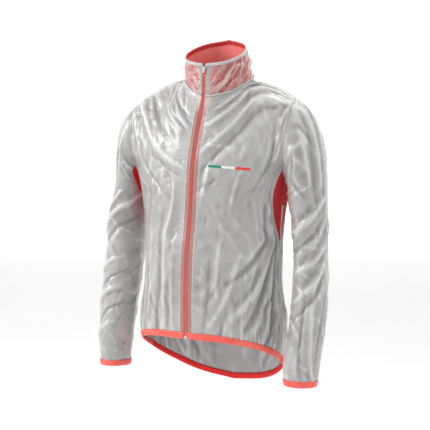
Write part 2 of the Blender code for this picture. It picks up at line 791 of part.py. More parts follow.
TAPE_OUT = 0.0145            # outer edge of a zip tape, from the centre front
TAPE_IN = 0.0016             # its inner edge
LINING_FOOT = 0.06           # where the lining starts, as a share of the collar's height
LINING_GAP = 0.0014          # between the lining and the zip tapes
CHAIN_HALF = 0.0026          # half the width of the closed coil
CHAIN_PROUD = 0.0010         # how far the coil stands out of the fronts
CHAIN_THICK = 0.0016
CHAIN_CROWN = 0.0004
CHAIN_END_STEP = 0.004       # the coil's last point is this far above the one before it
CHAIN_IN_SLIDER = 0.0055     # how far the coil reaches into the slider
TAPE_START = 0.0165          # above the hem, clear of the binding
STOP_HEIGHT = 0.0060         # bottom stop, above the hem
STOP_BELOW = 0.0006          # and below it
STOP_HALF = 0.0024
STOP_FRONT = 0.0014
STOP_BEHIND = 0.0010
SLIDER_WIDTH = 0.0075
SLIDER_HEIGHT = 0.0090
SLIDER_PLATE = 0.0012
SLIDER_TOP = 0.0055          # below the collar's top edge
BAR_RADIUS = 0.00055
BAR_DROP = 0.0022            # below the slider's top
BAR_OUT = 0.0019             # bar's axis in front of the plate
EYE_INNER = 0.00095
EYE_OUTER = 0.00150
EYE_HALF = 0.00100
LUG_INNER = 0.00140
LUG_OUTER = 0.00220
PULL_LENGTH = 0.0125
PULL_WIDTH = 0.0044
PULL_THICK = 0.0011
PULL_NECK = 0.0026           # from the bar's axis to the wide part of the pull
NECK_HALF = 0.0009           # half the width between the eye and the wide part
NECK_TOP = 0.0003
SLIDER_CLEAR = 0.0006        # between the coil and the slider's front plate
POST_HALF = 0.0010           # post that joins the slider's two plates, and its two ends
POST_LOW = 0.0030
POST_HIGH = 0.0008
BACK_PLATE = 0.0010
LUG_HALF = 0.0009
BAR_SHORT = 0.0003           # the bar ends this far inside its lugs
SUNK = 0.0005                # how far a part goes into the one that it is joined to


def zip_edge_rows(front, collar):
    """The first two columns of a front and of the collar above it, from the hem up."""
    return np.concatenate([front[:, :2], collar[1:, :2]])


def lining_grid(loop):
    """The lining, inside the collar and between the two zip tapes."""
    grid = collar_grid(loop, LINING_FOOT, 1.0)
    grid = grid - grid_normals(grid) * (FILM_WALL + LAY_GAP)
    for first, second in ((1, 2), (-2, -3)):
        reach = TAPE_OUT + LINING_GAP
        start = np.abs(grid[:, first, :1])
        end = np.abs(grid[:, second, :1])
        share = np.clip((reach - start) / (end - start), 0.0, 1.0)
        grid[:, first] += (grid[:, second] - grid[:, first]) * share
    return grid[:, 1:-1]


def tape_object(name, rows, side, material):
    """Tape of the zip, inside the film."""
    normals = side * grid_normals(rows)
    rows = rows.copy()
    rows[0] += unit_rows(rows[1] - rows[0]) * TAPE_START
    edge = rows[:, 0]
    across = rows[:, 1] - edge
    across = across / np.abs(across[:, :1])
    depth = FILM_WALL + LAY_GAP
    columns = []
    for x in (TAPE_IN, TAPE_OUT):
        columns.append(edge + across * (x - ZIP_EDGE) - normals[:, 0] * depth)
    grid = np.stack(columns, axis=1)
    if side < 0:
        grid = grid[:, ::-1]
    grid = draw_back(grid)
    return sheet_object(name, grid, TRIM_WALL, material)


def chain_object(rows, top_z, material):
    """The closed coil, a crowned strip between the two fronts."""
    line = rows[:, 0] * np.array([0.0, 1.0, 1.0])
    keep = line[:, 2] < top_z - CHAIN_END_STEP
    line = line[keep]
    start = line[0] + unit(line[1] - line[0]) * (STOP_HEIGHT + SEAM_GAP)
    end = line[-1] + (rows[-1, 0] * np.array([0, 1, 1]) - line[-1])
    share = (top_z - line[-1][2]) / (end[2] - line[-1][2])
    line = np.concatenate([[start], line[1:], [line[-1] + (end - line[-1]) * share]])
    outward = np.array([0.0, -1.0, 0.0])
    low = line + outward * (CHAIN_PROUD - CHAIN_CROWN)
    high = line + outward * CHAIN_PROUD
    side = np.array([CHAIN_HALF, 0, 0])
    grid = np.stack([low - side, high, low + side], axis=1)
    return sheet_object("zip_chain", grid, CHAIN_THICK, material)


def box_object(name, low, high, material):
    low = np.array(low, float)
    high = np.array(high, float)
    points = bmesh.new()
    bmesh.ops.create_cube(points, size=1.0)
    for vertex in points.verts:
        vertex.co = low + (np.array(vertex.co) + 0.5) * (high - low)
    mesh = bpy.data.meshes.new(name)
    points.to_mesh(mesh)
    points.free()
    mesh.materials.append(material)
    piece = bpy.data.objects.new(name, mesh)
    collection().objects.link(piece)
    return piece


def rod_object(name, radius, half_length, centre, material, sides=20):
    """Cylinder along X."""
    points = bmesh.new()
    bmesh.ops.create_cone(
        points, cap_ends=True, segments=sides, radius1=radius, radius2=radius,
        depth=2 * half_length,
    )
    for vertex in points.verts:
        x, y, z = vertex.co
        vertex.co = (z + centre[0], y + centre[1], -x + centre[2])
    mesh = bpy.data.meshes.new(name)
    points.to_mesh(mesh)
    points.free()
    mesh.materials.append(material)
    piece = bpy.data.objects.new(name, mesh)
    collection().objects.link(piece)
    return piece


def join(base, tool, operation):
    """Join or cut base with tool, which then becomes a hidden cutter."""
    boolean = base.modifiers.new(tool.name, "BOOLEAN")
    boolean.operation = operation
    boolean.object = tool
    collection().objects.unlink(tool)
    bpy.data.collections[NAME + "_cutters"].objects.link(tool)
    tool.hide_render = True
    tool.display_type = "WIRE"


def slider_and_pull(rim, metal):
    """Slider at the collar's top and the pull that hangs from its bar."""
    top = rim[2] - SLIDER_TOP
    low = top - SLIDER_HEIGHT
    front = rim[1] - CHAIN_PROUD - SLIDER_CLEAR
    face = front - SLIDER_PLATE
    half = SLIDER_WIDTH / 2
    slider = box_object("zip_slider", (-half, face, low), (half, front, top), metal)
    behind = rim[1] + FILM_WALL + LAY_GAP * 2 + TRIM_WALL + SLIDER_PLATE
    post = box_object(
        "slider_post", (-POST_HALF, front - SUNK, top - POST_LOW),
        (POST_HALF, behind + SUNK, top - POST_HIGH), metal,
    )
    join(slider, post, "UNION")
    plate = box_object(
        "slider_plate", (-half, behind, low + BACK_PLATE), (half, behind + BACK_PLATE, top), metal,
    )
    join(slider, plate, "UNION")
    bar_z = top - BAR_DROP
    bar_y = face - BAR_OUT
    for side in (-1, 1):
        inner, outer = sorted((side * LUG_INNER, side * LUG_OUTER))
        lug = box_object(
            "slider_lug" + ("_right" if side < 0 else "_left"),
            (inner, bar_y - LUG_HALF, bar_z - LUG_HALF), (outer, face + SUNK, bar_z + LUG_HALF),
            metal,
        )
        join(slider, lug, "UNION")
    bar = rod_object("slider_bar", BAR_RADIUS, LUG_OUTER - BAR_SHORT, (0, bar_y, bar_z), metal)
    join(slider, bar, "UNION")

    pull = rod_object("zip_pull", EYE_OUTER, EYE_HALF, (0, bar_y, bar_z), metal)
    half_thick = PULL_THICK / 2
    neck = box_object(
        "pull_neck", (-NECK_HALF, bar_y - half_thick, bar_z - PULL_NECK - SUNK),
        (NECK_HALF, bar_y + half_thick, bar_z - NECK_TOP), metal,
    )
    join(pull, neck, "UNION")
    tab = box_object(
        "pull_tab", (-PULL_WIDTH / 2, bar_y - half_thick, bar_z - PULL_LENGTH),
        (PULL_WIDTH / 2, bar_y + half_thick, bar_z - PULL_NECK), metal,
    )
    join(pull, tab, "UNION")
    hole = rod_object("pull_hole", EYE_INNER, EYE_HALF * 2, (0, bar_y, bar_z), metal)
    join(pull, hole, "DIFFERENCE")
    move_origin(pull, (0, bar_y, bar_z))
    return slider, pull


def move_origin(piece, place):
    """Put an object's origin on its joint's axis without moving its shape."""
    for vertex in piece.data.vertices:
        vertex.co = np.array(vertex.co) - np.array(place)
    piece.location = place


# ---------------------------------------------------------------- the jacket

def build():
    for piece in list(bpy.data.objects):
        bpy.data.objects.remove(piece)
    for name in (NAME, NAME + "_cutters"):
        bpy.context.scene.collection.children.link(bpy.data.collections.new(name))

    film = make_material("film", (0.56, 0.55, 0.545), 0.28)
    coral = make_material("coral_elastic", (0.90, 0.10, 0.08), 0.60)
    mesh = make_material("red_mesh", (0.58, 0.03, 0.03), 0.75)
    lining = make_material("coral_lining", (0.89, 0.14, 0.11), 0.55)
    pale = make_material("pale_tape", (0.72, 0.71, 0.70), 0.45)
    coil = make_material("coral_coil", (0.92, 0.08, 0.06), 0.40)
    tape = make_material("zip_tape", (0.60, 0.16, 0.14), 0.70)
    metal = make_material("white_metal", (0.80, 0.80, 0.80), 0.30, 0.3)

    front_left = front_grid(1)
    front_right = front_grid(-1)
    back = back_grid()
    names = {1: "left", -1: "right"}
    fronts = {1: front_left, -1: front_right}
    for side, front in fronts.items():
        word = names[side]
        gusset = gusset_grid(side, front, back)
        sleeve = sleeve_grid(side, armhole_loop(side, front, back, gusset))
        cloth = draw_back(front, gap=SEAM_GAP, top_gap=RIDGE_GAP)
        sheet_object("front_" + word, cloth, FILM_WALL, film)
        cloth = draw_back(gusset, gap=RIDGE_GAP)
        sheet_object("gusset_" + word, cloth, FILM_WALL, mesh)
        cloth = draw_back(sleeve, closed=True, rows=(False, True))
        sheet_object("sleeve_" + word, cloth, FILM_WALL, film, closed=True)
        binding_object("hem_binding_front_" + word, front, HEM_BAND, coral)
        binding_object("cuff_binding_" + word, sleeve, CUFF_BAND, coral, closed=True)
    sheet_object("back", draw_back(back, gap=RIDGE_GAP, top_gap=RIDGE_GAP), FILM_WALL, film)
    binding_object("hem_binding_back", back, HEM_BAND, coral)

    loop, panel_normals = neck_loop(front_left, front_right, back)
    collar = collar_grid(loop, 0.0, 1.0)
    collar_normals = grid_normals(collar)
    sheet_object("collar_outer", draw_back(collar), FILM_WALL, film)
    sheet_object("collar_lining", draw_back(lining_grid(loop)), TRIM_WALL, lining)
    collar_edge_object(collar, pale)
    piping_object(loop, panel_normals, collar_normals[0], pale)

    left_rows = zip_edge_rows(front_left, collar)
    right_rows = zip_edge_rows(front_right[:, ::-1], collar[:, ::-1])
    tape_object("zip_tape_left", left_rows, 1, tape)
    tape_object("zip_tape_right", right_rows, -1, tape)
    rim = collar[-1, 0] * np.array([0, 1, 1])
    chain_object(left_rows, rim[2] - SLIDER_TOP - SLIDER_HEIGHT + CHAIN_IN_SLIDER, coil)
    hem = left_rows[0, 0]
    box_object(
        "zip_bottom_stop", (-STOP_HALF, hem[1] - STOP_FRONT, hem[2] - STOP_BELOW),
        (STOP_HALF, hem[1] + STOP_BEHIND, hem[2] + STOP_HEIGHT), metal,
    )
    slider_and_pull(rim, metal)


build()
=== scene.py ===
"""Looks of the cycling windbreaker: film, mesh, lining, bindings and zip at fine size.

The cloth is worked out again from the same tables as the frame's solids, on finer
grids, and the creases of the film are laid on it in its own sizes. Metres, +Z
up; the front faces -Y and the wearer's left is +X.
"""

import math
from collections import namedtuple

import bpy
import numpy as np
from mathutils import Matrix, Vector


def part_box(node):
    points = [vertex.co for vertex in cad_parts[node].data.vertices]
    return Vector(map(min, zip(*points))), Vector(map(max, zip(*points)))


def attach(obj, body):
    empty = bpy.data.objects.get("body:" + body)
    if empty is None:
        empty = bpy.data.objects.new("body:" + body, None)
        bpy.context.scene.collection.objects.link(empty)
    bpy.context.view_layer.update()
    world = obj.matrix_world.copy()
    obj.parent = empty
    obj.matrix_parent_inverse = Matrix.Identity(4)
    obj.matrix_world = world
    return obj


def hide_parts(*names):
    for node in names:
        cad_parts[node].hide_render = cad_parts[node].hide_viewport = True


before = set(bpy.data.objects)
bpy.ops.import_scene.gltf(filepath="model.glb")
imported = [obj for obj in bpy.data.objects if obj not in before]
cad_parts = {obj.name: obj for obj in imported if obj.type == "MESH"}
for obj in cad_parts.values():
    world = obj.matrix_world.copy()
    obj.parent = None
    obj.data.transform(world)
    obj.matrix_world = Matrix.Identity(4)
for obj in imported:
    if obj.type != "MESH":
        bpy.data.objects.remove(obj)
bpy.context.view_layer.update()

# ---------------------------------------------------------------- driving dimensions

RING_POWER = 2.20            # 2 is an ellipse; more is squarer
GUSSET_LEVEL = -0.213        # height where the gusset meets the front and back armhole
GUSSET_TIP = -0.395          # height of the gusset's lower tip
ZIP_EDGE = 0.0040            # half the gap between the two fronts, where the coil shows
HEM_BAND = 0.014             # height of the hem binding
CUFF_BAND = 0.013
COLLAR_EDGE = 0.006          # height of the binding on the collar's top edge

SIDE_SEAM = math.radians(90)
CENTRE_BACK = math.radians(180)

Ring = namedtuple("Ring", "z half_width front back")
TORSO = (
    Ring(-0.790, 0.176, 0.146, 0.116),
    Ring(-0.680, 0.179, 0.146, 0.116),
    Ring(-0.602, 0.186, 0.146, 0.112),
    Ring(-0.523, 0.178, 0.146, 0.102),
    Ring(-0.466, 0.173, 0.144, 0.098),
    Ring(-0.410, 0.175, 0.139, 0.100),
    Ring(-0.336, 0.180, 0.125, 0.107),
    Ring(-0.262, 0.187, 0.117, 0.117),
    Ring(-0.196, 0.200, 0.108, 0.125),
    Ring(-0.122, 0.200, 0.083, 0.128),
    Ring(-0.046, 0.200, 0.054, 0.124),
    Ring(0.020, 0.200, 0.040, 0.112),
)

Hem = namedtuple("Hem", "angle z")
HEM_LINE = (
    Hem(0, -0.614),
    Hem(30, -0.618),
    Hem(60, -0.640),
    Hem(90, -0.678),
    Hem(120, -0.718),
    Hem(150, -0.758),
    Hem(180, -0.772),
)

Leaf = namedtuple("Leaf", "up front_angle back_angle")
GUSSET = (
    Leaf(0.00, 89.6, 90.4),
    Leaf(0.25, 76.0, 99.0),
    Leaf(0.50, 69.0, 105.0),
    Leaf(0.75, 68.0, 108.0),
    Leaf(1.00, 71.0, 110.0),
)

Neck = namedtuple("Neck", "angle z_left z_right")
NECK_SEAM = (
    Neck(0, -0.046, -0.046),
    Neck(20, -0.044, -0.036),
    Neck(45, -0.035, -0.016),
    Neck(65, -0.022, -0.005),
    Neck(90, -0.008, 0.002),
    Neck(130, 0.010, 0.013),
    Neck(180, 0.017, 0.017),
)
SHOULDER_BOW = 0.009         # how far the shoulder seam rises above a straight line
NECK_CENTRE_Y = 0.030
NECK_HALF_WIDTH = 0.084
NECK_HALF_DEPTH = 0.084

ArmPoint = namedtuple("ArmPoint", "turn x y z")      # turn: 0 top, 90 front, 180 under
ARMHOLE = (
    ArmPoint(0, 0.208, 0.014, -0.050),
    ArmPoint(45, 0.213, -0.034, -0.083),
    ArmPoint(90, 0.208, -0.056, -0.150),
    ArmPoint(135, 0.197, -0.036, -0.216),
    ArmPoint(180, 0.190, 0.010, -0.245),
    ArmPoint(225, 0.194, 0.056, -0.216),
    ArmPoint(270, 0.202, 0.078, -0.150),
    ArmPoint(315, 0.210, 0.058, -0.083),
    ArmPoint(360, 0.208, 0.014, -0.050),
)

ArmRing = namedtuple("ArmRing", "z x y half_side half_fore")
SLEEVE_LEFT = (
    ArmRing(-0.285, 0.2450, 0.008, 0.0450, 0.0620),
    ArmRing(-0.340, 0.2510, 0.004, 0.0420, 0.0585),
    ArmRing(-0.416, 0.2560, -0.002, 0.0395, 0.0550),
    ArmRing(-0.480, 0.2610, -0.012, 0.0410, 0.0540),
    ArmRing(-0.545, 0.2640, -0.028, 0.0410, 0.0520),
    ArmRing(-0.610, 0.2620, -0.045, 0.0420, 0.0490),
    ArmRing(-0.665, 0.2580, -0.060, 0.0430, 0.0450),
    ArmRing(-0.712, 0.2590, -0.069, 0.0375, 0.0385),
)
SLEEVE_RIGHT = (
    ArmRing(-0.285, 0.2380, 0.008, 0.0440, 0.0620),
    ArmRing(-0.340, 0.2470, 0.004, 0.0450, 0.0610),
    ArmRing(-0.416, 0.2515, -0.004, 0.0465, 0.0605),
    ArmRing(-0.480, 0.2530, -0.015, 0.0460, 0.0590),
    ArmRing(-0.545, 0.2550, -0.028, 0.0450, 0.0560),
    ArmRing(-0.610, 0.2560, -0.042, 0.0430, 0.0520),
    ArmRing(-0.665, 0.2530, -0.056, 0.0410, 0.0465),
    ArmRing(-0.720, 0.2480, -0.065, 0.0375, 0.0385),
)

Collar = namedtuple("Collar", "up half_width half_depth centre_y lean")
COLLAR = (
    Collar(0.00, 0.0840, 0.0840, 0.0300, 0.0000),
    Collar(0.35, 0.0815, 0.0815, 0.0290, -0.0025),
    Collar(0.70, 0.0780, 0.0780, 0.0270, -0.0055),
    Collar(1.00, 0.0745, 0.0755, 0.0255, -0.0080),
)
Rim = namedtuple("Rim", "angle z_left z_right")
COLLAR_TOP = (
    Rim(0, 0.029, 0.029),
    Rim(45, 0.036, 0.042),
    Rim(90, 0.058, 0.066),
    Rim(135, 0.084, 0.088),
    Rim(180, 0.098, 0.098),
)

# Direction in which a front's columns arrive at its top edge. The back's are the same
# with y turned round.
Arrive = namedtuple("Arrive", "across x y z")
TOP_DIRECTIONS = (
    Arrive(0.00, 0.00, 0.45, 0.89),
    Arrive(0.25, -0.35, 0.62, 0.70),
    Arrive(0.50, -0.30, 0.85, 0.42),
    Arrive(0.75, 0.00, 1.00, 0.04),
    Arrive(1.00, 0.00, 1.00, 0.00),
)

# Direction in which the sleeve leaves the armhole, from its top to its underside.
LEAVE_TOP = (0.90, 0.0, -0.43)
LEAVE_UNDER = (0.62, 0.0, -0.78)
LEAVE_FORE = 0.25            # how far its front and back edges also leave sideways
ARMHOLE_CENTRE_Z = -0.150
ARMHOLE_HALF_UP = 0.098      # half the armhole's height and depth, seen from the side
ARMHOLE_HALF_FORE = 0.067
GUSSET_BULGE = 0.006         # how far the mesh stands out between its two edges
TOP_ARRIVAL = 0.95           # how strongly a panel's columns keep their direction on top

# Counts of rows and columns
FRONT_COLUMNS = 18
BACK_COLUMNS = 12            # from the centre back to one side
FRONT_NECK_COLUMNS = 8       # columns that end on the neck seam, the rest on the shoulder
BACK_NECK_COLUMNS = 5
ROWS_BELOW_TIP = 10
ROWS_BESIDE_GUSSET = 6
ROWS_ABOVE = 9
ROW_CROWDING = 1.35          # above the armhole's foot, rows crowd towards the top
GUSSET_COLUMNS = 6
CAP_ROWS = 7
ARM_ROWS = 13
SIDES = {1: "left", -1: "right"}


# ---------------------------------------------------------------- curves and surfaces

def column(table, name):
    return np.array([getattr(row, name) for row in table], float)


def through(stations, values, at):
    """Smooth curve through a table's rows, as a cubic with central slopes."""
    values = np.asarray(values, float)
    at = np.clip(at, stations[0], stations[-1])
    slopes = np.gradient(values, stations, axis=0)
    k = int(np.clip(np.searchsorted(stations, at) - 1, 0, len(stations) - 2))
    span = stations[k + 1] - stations[k]
    t = (at - stations[k]) / span
    return hermite(values[k], values[k + 1], slopes[k] * span, slopes[k + 1] * span, t)


def hermite(start, end, leave, arrive, t):
    """Cubic from start to end that leaves and arrives along the two given vectors."""
    a = 2 * t**3 - 3 * t**2 + 1
    b = t**3 - 2 * t**2 + t
    c = -2 * t**3 + 3 * t**2
    d = t**3 - t**2
    return a * start + b * leave + c * end + d * arrive


def look_up(table, key, name, at):
    return float(through(column(table, key), column(table, name), at))


def unit(vector):
    vector = np.asarray(vector, float)
    return vector / np.linalg.norm(vector)


def mirrored(points, side):
    """The points as they are for side 1, and mirrored in the middle plane for -1."""
    return np.asarray(points, float) * np.array([side, 1.0, 1.0])


def ring_point(angle, z):
    """Point of the torso at one height; angle 0 is the centre front."""
    radius = (abs(math.sin(angle))**RING_POWER + abs(math.cos(angle))**RING_POWER)
    radius **= -1.0 / RING_POWER
    depth_name = "front" if angle <= SIDE_SEAM else "back"
    depth = look_up(TORSO, "z", depth_name, z)
    width = look_up(TORSO, "z", "half_width", z)
    return np.array([width * math.sin(angle) * radius, -depth * math.cos(angle) * radius, z])


def hem_height(angle):
    return look_up(HEM_LINE, "angle", "z", math.degrees(angle))


def lower_point(angle, rise):
    """Point of the torso below the armholes; rise is 0 at the hem and 1 at the top."""
    low = hem_height(angle)
    return ring_point(angle, low + (GUSSET_LEVEL - low) * rise)


def rise_of_tip():
    low = hem_height(SIDE_SEAM)
    return (GUSSET_TIP - low) / (GUSSET_LEVEL - low)


def armhole_point(turn):
    names = ("x", "y", "z")
    values = np.stack([column(ARMHOLE, name) for name in names], axis=1)
    return through(column(ARMHOLE, "turn"), values, turn % 360)


def turn_at_gusset(is_front):
    """Where the armhole passes the gusset's level, found by halving."""
    low, high = (90.0, 180.0) if is_front else (270.0, 180.0)
    for _ in range(40):
        middle = (low + high) / 2
        if armhole_point(middle)[2] > GUSSET_LEVEL:
            low = middle
        else:
            high = middle
    return (low + high) / 2


def neck_point(angle, side):
    name = "z_left" if side > 0 else "z_right"
    z = look_up(NECK_SEAM, "angle", name, math.degrees(angle))
    x = NECK_HALF_WIDTH * math.sin(angle)
    return np.array([x, NECK_CENTRE_Y - NECK_HALF_DEPTH * math.cos(angle), z])


def row_rises():
    """Rises of the rows from the hem to the gusset's level; the tip is on a row."""
    tip = rise_of_tip()
    below = np.linspace(0, tip, ROWS_BELOW_TIP + 1)
    beside = np.linspace(tip, 1, ROWS_BESIDE_GUSSET + 1)
    return np.concatenate([below, beside[1:]])


def gusset_angle(rise, is_front):
    """Angle of the panel's outer edge at one rise."""
    tip = rise_of_tip()
    up = max(0.0, (rise - tip) / (1 - tip))
    if up == 0.0:
        return SIDE_SEAM
    name = "front_angle" if is_front else "back_angle"
    return math.radians(look_up(GUSSET, "up", name, up))


def seam_shift(rise, is_front):
    """Moves the gusset's edge so that it ends on the armhole exactly."""
    tip = rise_of_tip()
    up = max(0.0, (rise - tip) / (1 - tip))
    meeting = armhole_point(turn_at_gusset(is_front))
    ring = ring_point(gusset_angle(1.0, is_front), GUSSET_LEVEL)
    return (meeting - ring) * up**2


def across_shares(count):
    """Columns closer together towards the side, where the hem is gathered."""
    even = np.linspace(0, 1, count + 1)
    return 1 - (1 - even)**1.25


def neck_share(is_front):
    """Share across at which the neck seam ends and the shoulder seam starts."""
    if is_front:
        return across_shares(FRONT_COLUMNS)[FRONT_NECK_COLUMNS]
    return across_shares(BACK_COLUMNS)[BACK_NECK_COLUMNS]


def panel_top(share, is_front, side):
    """Point and direction at the top edge: the neck seam, then the shoulder seam."""
    inner = math.asin(ZIP_EDGE / NECK_HALF_WIDTH) if is_front else CENTRE_BACK
    corner = neck_share(is_front)
    if share <= corner:
        angle = inner + (SIDE_SEAM - inner) * share / corner
        point = neck_point(angle, side)
    else:
        along = (share - corner) / (1 - corner)
        start = neck_point(SIDE_SEAM, side)
        point = start + (armhole_point(0) - start) * along
        point[2] += SHOULDER_BOW * math.sin(math.pi * along)
    names = ("x", "y", "z")
    values = np.stack([column(TOP_DIRECTIONS, name) for name in names], axis=1)
    direction = through(column(TOP_DIRECTIONS, "across"), values, share)
    if not is_front:
        direction[1] *= -1
    return point, unit(direction)


def half_panel(is_front, side):
    """Rows of points of one front, or of one half of the back, on the +X side."""
    count = FRONT_COLUMNS if is_front else BACK_COLUMNS
    shares = across_shares(count)
    zip_angle = ZIP_EDGE / look_up(TORSO, "z", "half_width", GUSSET_LEVEL)
    rows = []
    for rise in row_rises():
        outer = gusset_angle(rise, is_front)
        row = []
        for share in shares:
            inner = zip_angle if is_front else CENTRE_BACK
            point = lower_point(inner + (outer - inner) * share, rise)
            point = point + seam_shift(rise, is_front) * share**3
            if share == 0:
                point[0] = ZIP_EDGE if is_front else 0.0
            row.append(point)
        rows.append(row)
    return rows + upper_rows(np.array(rows[-1]), np.array(rows[-2]), shares, is_front, side)


def upper_rows(base, below, shares, is_front, side):
    """Rows from the gusset's level to the neck and shoulder seams."""
    start_turn = turn_at_gusset(is_front)
    end_turn = 0.0 if is_front else 360.0
    rows = []
    for step in range(1, ROWS_ABOVE + 1):
        t = 1 - (1 - step / ROWS_ABOVE)**ROW_CROWDING
        row = []
        for share, low, lower in zip(shares, base, below):
            row.append(upper_point(share, low, lower, t, is_front, side))
        rise = armhole_point(start_turn + (end_turn - start_turn) * t)
        outer_shift = rise - row[-1]
        top = panel_top(0.0, is_front, side)[0]
        z = base[0][2] + (top[2] - base[0][2]) * t
        middle = np.array([base[0][0], 0.0, z])
        name = "front" if is_front else "back"
        middle[1] = look_up(TORSO, "z", name, z) * (-1 if is_front else 1)
        inner_shift = (middle - row[0]) * (1 if t < 1 else 0)
        for k, share in enumerate(shares):
            row[k] = row[k] + outer_shift * share**4 + inner_shift * (1 - share)**3
        rows.append(row)
    return rows


def upper_point(share, low, lower, t, is_front, side):
    top, arrive = panel_top(share, is_front, side)
    reach = np.linalg.norm(top - low)
    leave = unit(low - lower) * reach
    return hermite(low, top, leave, arrive * reach * TOP_ARRIVAL, t)


# ---------------------------------------------------------------- sleeves and collar

PANEL_SPAN = (0.27, 0.62)    # size of a half panel laid flat, across and up
SLEEVE_SPAN = (0.32, 0.62)


def grid_normals(grid, closed=False):
    """Outward directions of a grid of points, rows going up, columns going round."""
    if closed:
        across = np.roll(grid, -1, axis=1) - np.roll(grid, 1, axis=1)
    else:
        across = np.gradient(grid, axis=1)
    up = np.gradient(grid, axis=0)
    normals = np.cross(across, up)
    return normals / np.maximum(np.linalg.norm(normals, axis=2, keepdims=True), 1e-12)


def unit_rows(vectors):
    return vectors / np.linalg.norm(vectors, axis=-1, keepdims=True)


def arm_frame(table, z):
    """Centre, downward direction and half sizes of the sleeve at one height."""
    centre = np.array([look_up(table, "z", "x", z), look_up(table, "z", "y", z), z])
    step = 0.01
    lower = np.array([look_up(table, "z", "x", z - step), look_up(table, "z", "y", z - step), 0])
    upper = np.array([look_up(table, "z", "x", z + step), look_up(table, "z", "y", z + step), 0])
    along = lower - upper
    along[2] = -2 * step
    return centre, unit(along)


def arm_point(table, z, turn):
    """Point of the sleeve; turn is 0 outside, 90 front, 180 inside, in radians."""
    centre, along = arm_frame(table, z)
    outward = unit(np.array([1.0, 0, 0]) - along * along[0])
    forward = np.cross(outward, along)
    if forward[1] > 0:
        forward = -forward
    half_side = look_up(table, "z", "half_side", z)
    half_fore = look_up(table, "z", "half_fore", z)
    return centre + outward * half_side * math.cos(turn) + forward * half_fore * math.sin(turn)


def plain_sleeve(side, loop):
    """Rows from the cuff up to the armhole on the +X side; columns go round from the
    shoulder."""
    table = SLEEVE_LEFT if side > 0 else SLEEVE_RIGHT
    table = tuple(sorted(table))
    centre = np.array([0.0, look_up(ARMHOLE, "turn", "y", 0), ARMHOLE_CENTRE_Z])
    turns = []
    for point in loop:
        off = point - centre
        turns.append(math.atan2(-off[1] / ARMHOLE_HALF_FORE, off[2] / ARMHOLE_HALF_UP))
    turns = np.unwrap(turns)
    top_z = table[-1].z
    low_z = table[0].z
    rows = []
    for z in np.linspace(low_z, top_z, ARM_ROWS + 1):
        rows.append([arm_point(table, z, turn) for turn in turns])
    base = np.array(rows[-1])
    below = np.array(rows[-2])
    for step in range(1, CAP_ROWS + 1):
        t = step / CAP_ROWS
        row = []
        for k, turn in enumerate(turns):
            under = (1 - math.cos(turn)) / 2
            leave = np.array(LEAVE_TOP) * (1 - under) + np.array(LEAVE_UNDER) * under
            leave[1] = -LEAVE_FORE * math.sin(turn)
            reach = np.linalg.norm(loop[k] - base[k])
            start = unit(base[k] - below[k]) * reach
            row.append(hermite(base[k], loop[k], start, -unit(leave) * reach, t))
        rows.append(row)
    return np.array(rows)


def collar_point(base, up):
    """Point of the collar above one point of the neck seam; up is 0 to 1."""
    side = 1 if base[0] > 0 else -1
    off_x = abs(base[0]) / NECK_HALF_WIDTH
    off_y = (NECK_CENTRE_Y - base[1]) / NECK_HALF_DEPTH
    angle = math.atan2(off_x, off_y)
    top = look_up(COLLAR_TOP, "angle", "z_left" if side > 0 else "z_right", math.degrees(angle))
    width = look_up(COLLAR, "up", "half_width", up)
    depth = look_up(COLLAR, "up", "half_depth", up)
    centre = look_up(COLLAR, "up", "centre_y", up)
    lean = look_up(COLLAR, "up", "lean", up)
    x = side * width * math.sin(angle) + lean * min(1.0, angle / math.radians(50))
    if off_y > 0 and abs(base[0]) < ZIP_EDGE * 1.5:
        x = side * ZIP_EDGE
    return np.array([x, centre - depth * math.cos(angle), base[2] + (top - base[2]) * up])


# ---------------------------------------------------------------- fine grids

UP_STEPS = 8                 # fine rows for each row of a table's grid
ACROSS_STEPS = 6
SHELL = 0.0004               # wall of the film and mesh as shown
TRIM_SHELL = 0.0009


def finer(grid, times, axis=0, closed=False):
    """Smooth curves through a grid's points, with so many steps between each two."""
    grid = np.moveaxis(np.asarray(grid, float), axis, 0)
    count = len(grid)
    if closed:
        slopes = (np.roll(grid, -1, axis=0) - np.roll(grid, 1, axis=0)) / 2
        where = np.arange(count * times) / times
    else:
        slopes = np.gradient(grid, axis=0)
        where = np.arange((count - 1) * times + 1) / times
    first = np.minimum(where.astype(int), count - (1 if closed else 2))
    t = (where - first).reshape(-1, *([1] * (grid.ndim - 1)))
    second = (first + 1) % count
    made = hermite(grid[first], grid[second], slopes[first], slopes[second], t)
    return np.moveaxis(made, 0, axis)


def smooth_step(low, high, value):
    t = np.clip((value - low) / (high - low), 0, 1)
    return t * t * (3 - 2 * t)


def soft_noise(shape, cells, seed):
    """Smooth noise of about -1 to 1 over a grid, with so many cells up and across."""
    random = np.random.default_rng(seed)
    lattice = random.normal(0, 0.5, (cells[0] + 3, cells[1] + 3))
    fine = finer(finer(lattice, 12, 0), 12, 1)
    rows = np.linspace(12, fine.shape[0] - 13, shape[0]).astype(int)
    columns = np.linspace(12, fine.shape[1] - 13, shape[1]).astype(int)
    return fine[np.ix_(rows, columns)]


# Creases are laid like the folds: from one place to another, as shares across and up,
# with the width and height in metres. A bow bends the line to one side.
Crease = namedtuple("Crease", "across0 up0 across1 up1 width height bow")
Spray = namedtuple(
    "Spray", "seed count across up spread_across spread_up turn fan length width height",
)
Gathers = namedtuple("Gathers", "start reach count depth")
FRONT_GATHERS = Gathers(0.30, 0.26, 26, 0.0034)
BACK_GATHERS = Gathers(0.30, 0.26, 20, 0.0034)
SLEEVE_GATHERS = Gathers(0.0, 0.10, 22, 0.0022)
CRUMPLE_DEPTH = 0.0016
FRONT_FADES = (5, 14, 10, 10)      # fine rows and columns from each edge to a full crease
BACK_FADES = (5, 14, 10, 0)
SLEEVE_FADES = (5, 14, 0, 0)


